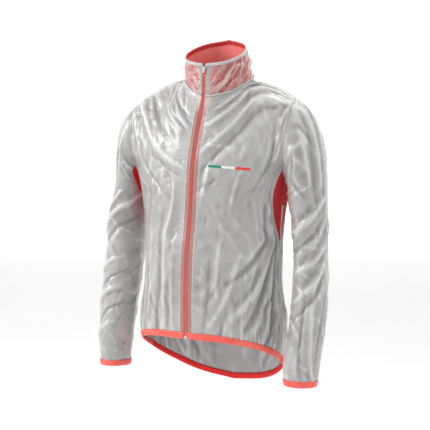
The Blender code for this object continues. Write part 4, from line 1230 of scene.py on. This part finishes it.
def edge_surface():
    """The collar's tape: pale outside, deep red where it is folded to the inside."""
    surface = Surface("collar_edge", PALE, 0.45)
    across, up = surface.uv()
    inside = surface.span(up, 0.0080, 0.0086, 0.0, 1.0)
    cloud = surface.span(surface.noise(60, 2.0), 0.35, 0.65, 0.0, 1.0)
    tone = surface.mix(cloud, PALE, (0.50, 0.49, 0.48))
    surface.set("Base Color", surface.mix(inside, tone, (0.62, 0.030, 0.026)))
    ribs = surface.math("SINE", surface.math("MULTIPLY", across, RIBS * 2 * math.pi))
    surface.raised(ribs, 0.00008)
    return surface.material


def lining_surface():
    """Coral lining, deeper red along the collar's top edge."""
    surface = Surface("coral_lining", CORAL_PALE, 0.5, Sheen_Weight=0.1)
    _, down = surface.uv()
    top = surface.span(down, 0.009, 0.013, 1.0, 0.0)
    cloud = surface.span(surface.noise(26, 3.0), 0.35, 0.65, 0.0, 1.0)
    tone = surface.mix(cloud, (0.97, 0.225, 0.20), (1.0, 0.265, 0.235))
    surface.set("Base Color", surface.mix(top, tone, (0.72, 0.035, 0.03)))
    surface.raised(surface.noise(900, 2.0), 0.0002)
    return surface.material


def cloth_surface(name, colour, second, roughness, scale=900):
    """Close knit of small cells."""
    surface = Surface(name, colour, roughness, Sheen_Weight=0.1)
    cells = surface.node("ShaderNodeTexVoronoi")
    cells.inputs["Scale"].default_value = scale
    surface.link(surface.place, cells.inputs["Vector"])
    cloud = surface.span(surface.noise(26, 3.0), 0.35, 0.65, 0.0, 1.0)
    surface.set("Base Color", surface.mix(cloud, colour, second))
    surface.raised(cells.outputs["Distance"], 0.0002)
    return surface.material


def mesh_surface():
    """Knitted net with small open holes, drawn as dark dots: painted shade of the inside seen through
    them.
    """
    surface = Surface("red_mesh", MESH_RED, 0.8, Specular_IOR_Level=0.25)
    across, up = surface.uv()
    pitch = 0.0019
    wave_a = surface.math("SINE", surface.math("MULTIPLY", across, 2 * math.pi / pitch))
    wave_b = surface.math("SINE", surface.math("MULTIPLY", up, 2 * math.pi / pitch))
    holes = surface.math("MULTIPLY", wave_a, wave_b)
    painted_hole_shade = surface.span(holes, 0.25, 0.6, 0.0, 1.0)
    cloud = surface.span(surface.noise(12, 2.0), 0.35, 0.65, 0.0, 1.0)
    tone = surface.mix(cloud, MESH_RED, (0.80, 0.035, 0.035))
    # darker red where the net is open: painted shade of the inside behind the holes
    surface.set("Base Color", surface.mix(painted_hole_shade, tone, (0.46, 0.010, 0.012)))
    surface.raised(surface.span(holes, -1.0, 1.0, 1.0, 0.0), 0.0003)
    return surface.material


def metal_surface():
    surface = Surface("white_metal", (0.82, 0.82, 0.82), 0.30, Metallic=0.35)
    scratches = surface.noise(220, 3.0, stretch=(1, 1, 0.2))
    surface.set("Roughness", surface.span(scratches, 0.3, 0.7, 0.22, 0.42))
    tone = surface.span(surface.noise(60, 2.0), 0.3, 0.7, 0.0, 1.0)
    surface.set("Base Color", surface.mix(tone, (0.84, 0.84, 0.84), (0.74, 0.74, 0.75)))
    surface.raised(scratches, 0.00004)
    return surface.material


def bar_surface(length):
    """Three plain colours in equal lengths."""
    surface = Surface("tricolour_print", PALE, 0.45)
    across, _ = surface.uv()
    blur = 0.0002
    first = surface.span(across, length / 3 - blur, length / 3 + blur, 0.0, 1.0)
    second = surface.span(across, length * 2 / 3 - blur, length * 2 / 3 + blur, 0.0, 1.0)
    tone = surface.mix(first, (0.0, 0.27, 0.14), (0.88, 0.88, 0.86))
    tone = surface.mix(second, tone, (0.86, 0.04, 0.03))
    surface.set("Base Color", tone)
    surface.raised(surface.noise(500, 2.0), 0.00006)
    return surface.material


# ---------------------------------------------------------------- trims of the jacket

COIL_PITCH = 0.0015
COIL_TOOTH = (0.00002, 0.00073)    # where a tooth starts and ends in its half pitch
COIL_OUTLINE = ((0.0, -0.0003), (0.0, 0.0009), (0.0024, 0.0011), (0.0037, 0.0004), (0.0037, -0.0003))


def metre_map(points):
    """Distances across and up to each point, measured along the cloth."""
    across = np.cumsum(np.linalg.norm(np.diff(points, axis=1), axis=2), axis=1)
    up = np.cumsum(np.linalg.norm(np.diff(points, axis=0), axis=2), axis=0)
    return np.stack([np.pad(across, ((0, 0), (1, 0))), np.pad(up, ((1, 0), (0, 0)))], axis=-1)


def outward_grid(points, side):
    """Columns in the order that makes the normals point outwards."""
    points = mirrored(points, side)
    return points if side > 0 else points[:, ::-1]


def coil_object(line, material):
    """Both rows of the coil's teeth, closed, along the middle of the zip."""
    lengths = np.pad(np.cumsum(np.linalg.norm(np.diff(line, axis=0), axis=1)), (1, 0))
    points = []
    faces = []
    for k in range(int(lengths[-1] / COIL_PITCH * 2)):
        side = 1 if k % 2 else -1
        at = [k * COIL_PITCH / 2 + step for step in COIL_TOOTH]
        low, high = (np.array([np.interp(a, lengths, line[:, i]) for i in range(3)]) for a in at)
        base = len(points)
        out = np.array([0, -1.0, 0])
        for centre in (low, high):
            for x, y in COIL_OUTLINE:
                points.append(centre + np.array([side * x, 0, 0]) + out * y)
        for i in range(5):
            j = (i + 1) % 5
            quad = [base + i, base + j, base + 5 + j, base + 5 + i]
            faces.append(quad if side > 0 else quad[::-1])
        first = [base + i for i in range(5)]
        last = [base + 5 + i for i in range(5)]
        faces.append(first[::-1] if side > 0 else first)
        faces.append(last if side > 0 else last[::-1])
    return mesh_object("zip_coil_rows", points, faces, material, smooth=False)


def finish_node(name, material):
    """A CAD node that is shown as it is, with a finish of its own."""
    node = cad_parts[name]
    node.data.materials.clear()
    node.data.materials.append(material)


# ---------------------------------------------------------------- the jacket

def panels(film, zip_film, net, coral, back_hem_shaded_coral):
    """Fronts, mesh, sleeves and back, with the elastic round their lower edges."""
    fronts = {side: front_cloth(side) for side in (1, -1)}
    back = back_cloth()
    seams = []
    for side in (1, -1):
        word = SIDES[side]
        front = fronts[side]
        gusset = fine_gusset(side, front.points, back.points)
        loop = fine_loop(side, front.points, back.points, gusset.points)
        sleeve = sleeve_cloth(side, loop)
        uv = metre_map(front.points)
        uv = uv if side > 0 else uv[:, ::-1]
        points = outward_grid(front.points, side)
        piece = shell("front_" + word + "_film", points, zip_film, SHELL, uv)
        on_jacket(piece, "film", "front_" + word)
        band_piece("front_" + word, points, coral)

        points = outward_grid(gusset.points, side)
        piece = shell("gusset_" + word + "_net", points, net, SHELL, metre_map(points))
        on_jacket(piece, "mesh", "gusset_" + word)

        points = sleeve_outward(sleeve.points, side)
        piece = shell("sleeve_" + word + "_film", points, film, SHELL, metre_map(points), closed=True)
        on_jacket(piece, "film", "sleeve_" + word)
        cuff_piece(word, points, coral)
        seams.append((side, front, gusset, loop, sleeve))
    piece = shell("back_film", back.points, film, SHELL, metre_map(back.points))
    on_jacket(piece, "film", "back")
    # the back hem gets the darker copy of the coral elastic: painted shade of the tape seen from
    # inside
    band_piece("back", back.points, back_hem_shaded_coral)
    return fronts, back, seams


def sleeve_outward(points, side):
    points = mirrored(points, side)
    return points[:, ::-1] if side > 0 else points


BAND_RISE = 0.0006           # between the film and the trim folded over it
BAND_EDGE = 12               # fine rows at an edge, more than a tape covers
END_GAP = 0.00015


def band_piece(word, points, material):
    """The hem's elastic tape round the lower edge of a panel."""
    path = band_rows(points[:BAND_EDGE], grid_normals(points)[:BAND_EDGE], HEM_BAND, BAND_RISE, 5)
    path = draw_in(path)
    piece = shell("hem_band_" + word, path, material, TRIM_SHELL, metre_map(path), offset=1.0)
    on_jacket(piece, "elastic", "hem_binding_" + word)


def draw_in(path):
    """The tape a little shorter, so that its ends stay clear of the next one."""
    path = path.copy()
    path[:, 0] += END_GAP * unit_rows(path[:, 1] - path[:, 0])
    path[:, -1] += END_GAP * unit_rows(path[:, -2] - path[:, -1])
    return path


def cuff_piece(word, points, material):
    normals = grid_normals(points, closed=True)
    path = band_rows(points[:BAND_EDGE], normals[:BAND_EDGE], CUFF_BAND, BAND_RISE, 5)
    piece = shell(
        "cuff_band_" + word, path, material, TRIM_SHELL, metre_map(path), closed=True, offset=1.0,
    )
    on_jacket(piece, "elastic", "cuff_binding_" + word)


STRIP_ROWS = 26              # height of the pale strip on the mesh, from its tip
STRIP_COLUMNS = (30, 37)
STRIP_RISE = 0.0006
PATCH_WALL = 0.0003


def seam_cords(seams, back, film, coral, pale):
    """Rolled seams, and the pale strip and coral line on the mesh's back edge."""
    tip = ROWS_BELOW_TIP * UP_STEPS
    high = (ROWS_BELOW_TIP + ROWS_BESIDE_GUSSET) * UP_STEPS
    for side, front, gusset, loop, _ in seams:
        word = SIDES[side]
        low, wide = STRIP_ROWS, STRIP_COLUMNS
        strip = outward_grid(gusset.points[2:low, wide[0]:wide[1]], side)
        strip = strip + grid_normals(strip) * STRIP_RISE
        piece = shell("gusset_strip_" + word, strip, pale, PATCH_WALL, metre_map(strip))
        on_jacket(piece, "pale_tape")
        shoulder = front.points[-1, FRONT_NECK_COLUMNS * ACROSS_STEPS:]
        back_edge = back.points[tip:high + 1, 0 if side > 0 else -1]
        for name, path, radius in (
            ("armhole", mirrored(np.concatenate([loop, loop[:1]]), side), 0.0009),
            ("side", mirrored(front.points[5:tip + 1, -1], side), 0.0007),
            ("shoulder", mirrored(shoulder, side), 0.0007),
            ("gusset_front", mirrored(front.points[tip:high + 1, -1], side), 0.0011),
            ("gusset_back", back_edge, 0.0012),
            ("gusset_line", mirrored(gusset.points[2:low, wide[1] + 2], side), 0.0014),
        ):
            coral_line = name == "gusset_line"
            material = coral if coral_line else film
            piece = tube("_".join(["seam", name, word]), path, radius, material, sides=6)
            on_jacket(piece, "elastic" if coral_line else "film")


COLLAR_SPAN = (0.50, 0.085)
SPRAYS_COLLAR = (
    Spray(51, 30, 0.22, 0.50, 0.20, 0.42, 36, 10, 0.060, 0.0036, 0.0034),
    Spray(52, 20, 0.86, 0.50, 0.12, 0.40, -40, 24, 0.032, 0.0034, 0.0024),
    Spray(53, 16, 0.56, 0.50, 0.16, 0.40, 20, 40, 0.040, 0.0040, 0.0022),
)
COLLAR_FADES = (4, 5, 9, 9)
LINING_IN = 0.0022           # from the film to the lining
LINING_WALL = 0.0006
EDGE_IN = 0.0030             # from the film to the inside of the top tape, past the lining
NECK_CORD_RADIUS = 0.0019
NECK_CORD_OUT = 0.0018


def collar_pieces(fronts, back, collar_film, lining, edge_tape, pale):
    """The stand collar: film, lining, the tape on its top edge and the neck's piping."""
    count = FRONT_NECK_COLUMNS * ACROSS_STEPS
    middle = BACK_COLUMNS * ACROSS_STEPS
    reach = BACK_NECK_COLUMNS * ACROSS_STEPS
    left = fronts[1].points
    right = mirrored(fronts[-1].points, -1)
    loop = np.concatenate([
        left[-1, :count], back.points[-1, middle - reach:middle + reach + 1],
        right[-1, :count][::-1],
    ])
    panel_normals = np.concatenate([
        grid_normals(left)[-1, :count],
        grid_normals(back.points)[-1, middle - reach:middle + reach + 1],
        grid_normals(right[:, ::-1])[-1, ::-1][:count][::-1],
    ])
    coarse_loop = loop[::2]
    rows = [[collar_point(base, up) for base in coarse_loop] for up in np.linspace(0, 1, 6)]
    points = finer(finer(np.array(rows), 6, 0), 2, 1)
    shares = [np.linspace(0, 1, count) for count in points.shape[:2]]
    up, across = np.meshgrid(*shares, indexing="ij")
    creases = []
    for spray in SPRAYS_COLLAR:
        creases += scattered(spray, COLLAR_SPAN)
    heights = crease_heights(creases, across, up, COLLAR_SPAN)
    cloth = Cloth(points, across, up, COLLAR_SPAN)
    heights += crumple(cloth, (6, 26), 141, 0.0010)
    heights *= fade_from(heights.shape, *COLLAR_FADES)
    plain = points.copy()
    cloth.raise_by(heights + 0.0002)
    uv = metre_map(plain)
    half = uv[..., 0].max(axis=1, keepdims=True) / 2
    uv[..., 0] = half - np.abs(uv[..., 0] - half)
    piece = shell("collar_film_outer", cloth.points, collar_film, SHELL, uv)
    on_jacket(piece, "collar_film", "collar_outer")

    inner = plain - grid_normals(plain) * LINING_IN
    inner = inner[1:, 10:-10]
    from_top = metre_map(inner[::-1])[::-1]
    piece = shell("collar_lining_cloth", inner, lining, LINING_WALL, from_top)
    on_jacket(piece, "lining", "collar_lining")

    edge = plain[::-1]
    normals = grid_normals(plain)[::-1]
    edge, normals = edge[:BAND_EDGE], normals[:BAND_EDGE]
    path = band_rows(edge, normals, COLLAR_EDGE, BAND_RISE, 4, inner=EDGE_IN)[::-1]
    piece = shell("collar_edge_tape", path, edge_tape, TRIM_SHELL * 0.8, metre_map(path), offset=1.0)
    on_jacket(piece, "pale_tape", "collar_binding")

    joint = unit_rows(panel_normals + grid_normals(plain)[0, :len(loop)])
    piece = tube("neck_cord", loop + joint * NECK_CORD_OUT, NECK_CORD_RADIUS, pale)
    on_jacket(piece, "pale_tape", "neck_piping")
    return plain


Spot = namedtuple("Spot", "row column")
# The outer edge of the mesh in front of the right armpit, on the sleeve's grid. The middle four
# are where the camera's rays to that edge in the photograph meet it, and the ends are given.
SLIVER_EDGE = (
    Spot(97, 99), Spot(101, 88), Spot(117, 81), Spot(130, 77), Spot(143, 70), Spot(155, 71),
)
SLIVER_WIDTH = 16            # columns
SLIVER_LIFT = 0.0011


def mesh_sliver(sleeve, net):
    """The narrow end of the mesh that also shows in front of the right armpit."""
    rows = np.arange(SLIVER_EDGE[0].row, SLIVER_EDGE[-1].row + 1)
    starts = np.interp(rows, [spot.row for spot in SLIVER_EDGE], [spot.column for spot in SLIVER_EDGE])
    shares = (rows - rows[0]) / (rows[-1] - rows[0])
    widths = 1.0 + SLIVER_WIDTH * np.sin(np.pi * shares)**0.6
    grid = sleeve_outward(sleeve.points, -1)
    normals = grid_normals(grid)
    points = []
    for row, start, width in zip(rows, starts, widths):
        line = []
        for at in np.linspace(start, start + width, 14):
            low = int(at)
            t = at - low
            point = grid[row, low] * (1 - t) + grid[row, low + 1] * t
            line.append(point + normals[row, low] * SLIVER_LIFT)
        points.append(line)
    points = np.array(points)
    piece = shell("gusset_right_end", points, net, PATCH_WALL, metre_map(points))
    on_jacket(piece, "mesh")


BAR_ROWS = (110, 145)        # the part of the left front's grid that the bar lies in
BAR_COLUMNS = (13, 55)
BAR_Z = (-0.2095, -0.2165)   # its middle, at the zip's end and at the far end
BAR_HEIGHT = 0.0055
BAR_LENGTH = 0.10
BAR_RISE = 0.0005
BAR_WALL = 0.0002


def chest_bar(front, material):
    """The thin printed bar on the wearer's left chest, laid on the film."""
    rows = slice(BAR_ROWS[0], BAR_ROWS[1] + 1)
    columns = slice(BAR_COLUMNS[0], BAR_COLUMNS[1] + 1)
    patch = front.points[rows, columns]
    normals = grid_normals(front.points)[rows, columns]
    count_up, count_across = 5, 60
    strip = np.zeros((count_up, count_across, 3))
    out = np.zeros((count_up, count_across, 3))
    for k in range(count_across):
        share = k / (count_across - 1)
        at = share * (patch.shape[1] - 1)
        i = min(int(at), patch.shape[1] - 2)
        t = at - i
        column = patch[:, i] * (1 - t) + patch[:, i + 1] * t
        normal = normals[:, i] * (1 - t) + normals[:, i + 1] * t
        z = BAR_Z[0] + (BAR_Z[1] - BAR_Z[0]) * share
        for j in range(count_up):
            height = z + BAR_HEIGHT * (j / (count_up - 1) - 0.5)
            for axis in range(3):
                strip[j, k, axis] = np.interp(height, column[:, 2], column[:, axis])
                out[j, k, axis] = np.interp(height, column[:, 2], normal[:, axis])
    strip = strip + unit_rows(out) * BAR_RISE
    piece = shell("chest_bar", strip, material, BAR_WALL, metre_map(strip))
    on_jacket(piece, None)


SLIDER_COVER = 0.001         # how far the coil runs up behind the slider


def zip_pieces(front, collar, coil, tape, metal):
    """The coil's teeth, and the solids of the zip that are shown as they are."""
    line = np.concatenate([front.points[2:, 0], collar[1:, 0]]) * np.array([0, 1.0, 1.0])
    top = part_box("zip_slider")[0].z + SLIDER_COVER
    line = line[line[:, 2] < top]
    piece = coil_object(line, coil)
    on_jacket(piece, "zip_coil", "zip_chain")
    for name in ("zip_tape_left", "zip_tape_right"):
        finish_node(name, tape)
    for name in ("zip_slider", "zip_pull", "zip_bottom_stop"):
        finish_node(name, metal)


ZIP_STITCHES = (0.0018, 0.0112)    # from the front's inner edge
STITCH_RISE = 0.00025


def sewing(seams, material):
    """Two stitch lines beside the zip on each front."""
    lines = []
    for side, front, *_ in seams:
        points = front.points
        normals = grid_normals(points)
        width = np.cumsum(np.linalg.norm(np.diff(points, axis=1), axis=2), axis=1)
        for reach in ZIP_STITCHES:
            path = []
            outs = []
            for j in range(6, len(points) - 1):
                row = np.pad(width[j], (1, 0))
                path.append([np.interp(reach, row, points[j, :, i]) for i in range(3)])
                outs.append([np.interp(reach, row, normals[j, :, i]) for i in range(3)])
            path = np.array(path) + np.array(outs) * STITCH_RISE
            lines.append((mirrored(path, side), mirrored(np.array(outs), side)))
    piece = stitches("zip_stitching", lines, material)
    on_jacket(piece, "film")


# ---------------------------------------------------------------- stage

VIEW_TURN = math.radians(27)     # the camera stands this far to the wearer's left
VIEW_DISTANCE = 2.3
VIEW_HEIGHT = -0.12
VIEW_LENS = 78.5
VIEW_AIM = (0.0025, 0.0013, -0.335)
WORLD_STRENGTH = 0.66
BACKDROP_LIGHT = 0.75
FLOOR = -1.20                # well below the jacket, which hangs
FLOOR_HALF = 14
BACKDROP_AWAY = 6
BACKDROP_SIZE = 9            # half its width, and its height


def camera_object():
    data = bpy.data.cameras.new("camera")
    camera = bpy.data.objects.new("camera", data)
    bpy.context.scene.collection.objects.link(camera)
    data.lens = VIEW_LENS
    data.sensor_width = 36
    back = Vector((math.sin(VIEW_TURN), -math.cos(VIEW_TURN), 0))
    eye = back * VIEW_DISTANCE
    eye.z = VIEW_HEIGHT
    camera.location = eye
    camera.rotation_euler = (Vector(VIEW_AIM) - eye).to_track_quat("-Z", "Y").to_euler()
    bpy.context.scene.camera = camera


def soft_light(name, place, aim, size, power):
    data = bpy.data.lights.new(name, "AREA")
    data.shape = "RECTANGLE"
    data.size, data.size_y = size
    data.energy = power
    light = bpy.data.objects.new(name, data)
    light.location = place
    light.rotation_euler = (Vector(aim) - Vector(place)).to_track_quat("-Z", "Y").to_euler()
    bpy.context.scene.collection.objects.link(light)


def stage():
    world = bpy.data.worlds.new("studio")
    world.use_nodes = True
    sky = world.node_tree.nodes["Background"]
    sky.inputs["Color"].default_value = (1.0, 1.0, 1.0, 1.0)
    sky.inputs["Strength"].default_value = WORLD_STRENGTH
    bpy.context.scene.world = world
    bpy.context.scene.view_settings.view_transform = "Standard"
    middle = (0, 0, -0.35)
    soft_light("key", (-2.0, -1.5, 1.0), middle, (0.7, 1.5), 46)
    soft_light("side", (2.4, 0.2, 0.5), middle, (0.6, 1.8), 12)
    soft_light("top", (0.2, 0.9, 1.7), middle, (1.2, 0.8), 14)
    paper = Surface("floor", (0.90, 0.90, 0.90), 0.9)
    paper.set("Base Color", paper.mix(paper.noise(2, 2.0), (0.92, 0.92, 0.92), (0.90, 0.90, 0.90)))
    faces = [[0, 1, 2, 3]]
    square = ((-1, -1), (1, -1), (1, 1), (-1, 1))
    corners = [(x * FLOOR_HALF, y * FLOOR_HALF, FLOOR) for x, y in square]
    floor = mesh_object("floor", corners, faces, paper.material, smooth=False)
    white = Surface("backdrop", (0.9, 0.9, 0.9), 0.9)
    white.shader.inputs["Emission Color"].default_value = (1.0, 1.0, 1.0, 1.0)
    white.shader.inputs["Emission Strength"].default_value = BACKDROP_LIGHT
    away = Vector((-math.sin(VIEW_TURN), math.cos(VIEW_TURN), 0)) * BACKDROP_AWAY
    aside = Vector((math.cos(VIEW_TURN), math.sin(VIEW_TURN), 0)) * BACKDROP_SIZE
    low = Vector((0, 0, FLOOR - 0.01))
    high = Vector((0, 0, FLOOR + BACKDROP_SIZE))
    corners = [away - aside + low, away + aside + low, away + aside + high, away - aside + high]
    corners = [list(corner) for corner in corners]
    wall = mesh_object("backdrop", corners, faces, white.material, smooth=False)


def main():
    film = film_surface("film")
    zip_film = film_surface("film_front", zip_side=True)
    net = mesh_surface()
    coral = woven_surface("coral_elastic", CORAL, (0.95, 0.16, 0.12), 0.5)
    pale = woven_surface("pale_tape", PALE, (0.55, 0.54, 0.53), 0.45)
    # darker red copy of the coral elastic for the back hem: painted shade, as that tape is seen from
    # inside the back
    back_hem_shaded_coral = woven_surface("coral_elastic_painted_shade", (0.92, 0.010, 0.008), (0.84, 0.008, 0.008), 0.6)
    tape = cloth_surface("zip_tape", (0.86, 0.22, 0.19), (0.76, 0.18, 0.16), 0.7, scale=1400)
    coil = cloth_surface("coral_coil", (1.0, 0.13, 0.10), (1.0, 0.17, 0.13), 0.42)
    fronts, back, seams = panels(film, zip_film, net, coral, back_hem_shaded_coral)
    collar = collar_pieces(fronts, back, collar_surface(), lining_surface(), edge_surface(), pale)
    seam_cords(seams, back, film, coral, pale)
    zip_pieces(fronts[1], collar, coil, tape, metal_surface())
    chest_bar(fronts[1], bar_surface(BAR_LENGTH))
    mesh_sliver(seams[1][4], net)
    sewing(seams, pale)
    camera_object()
    stage()


main()
bpy.context.view_layer.update()
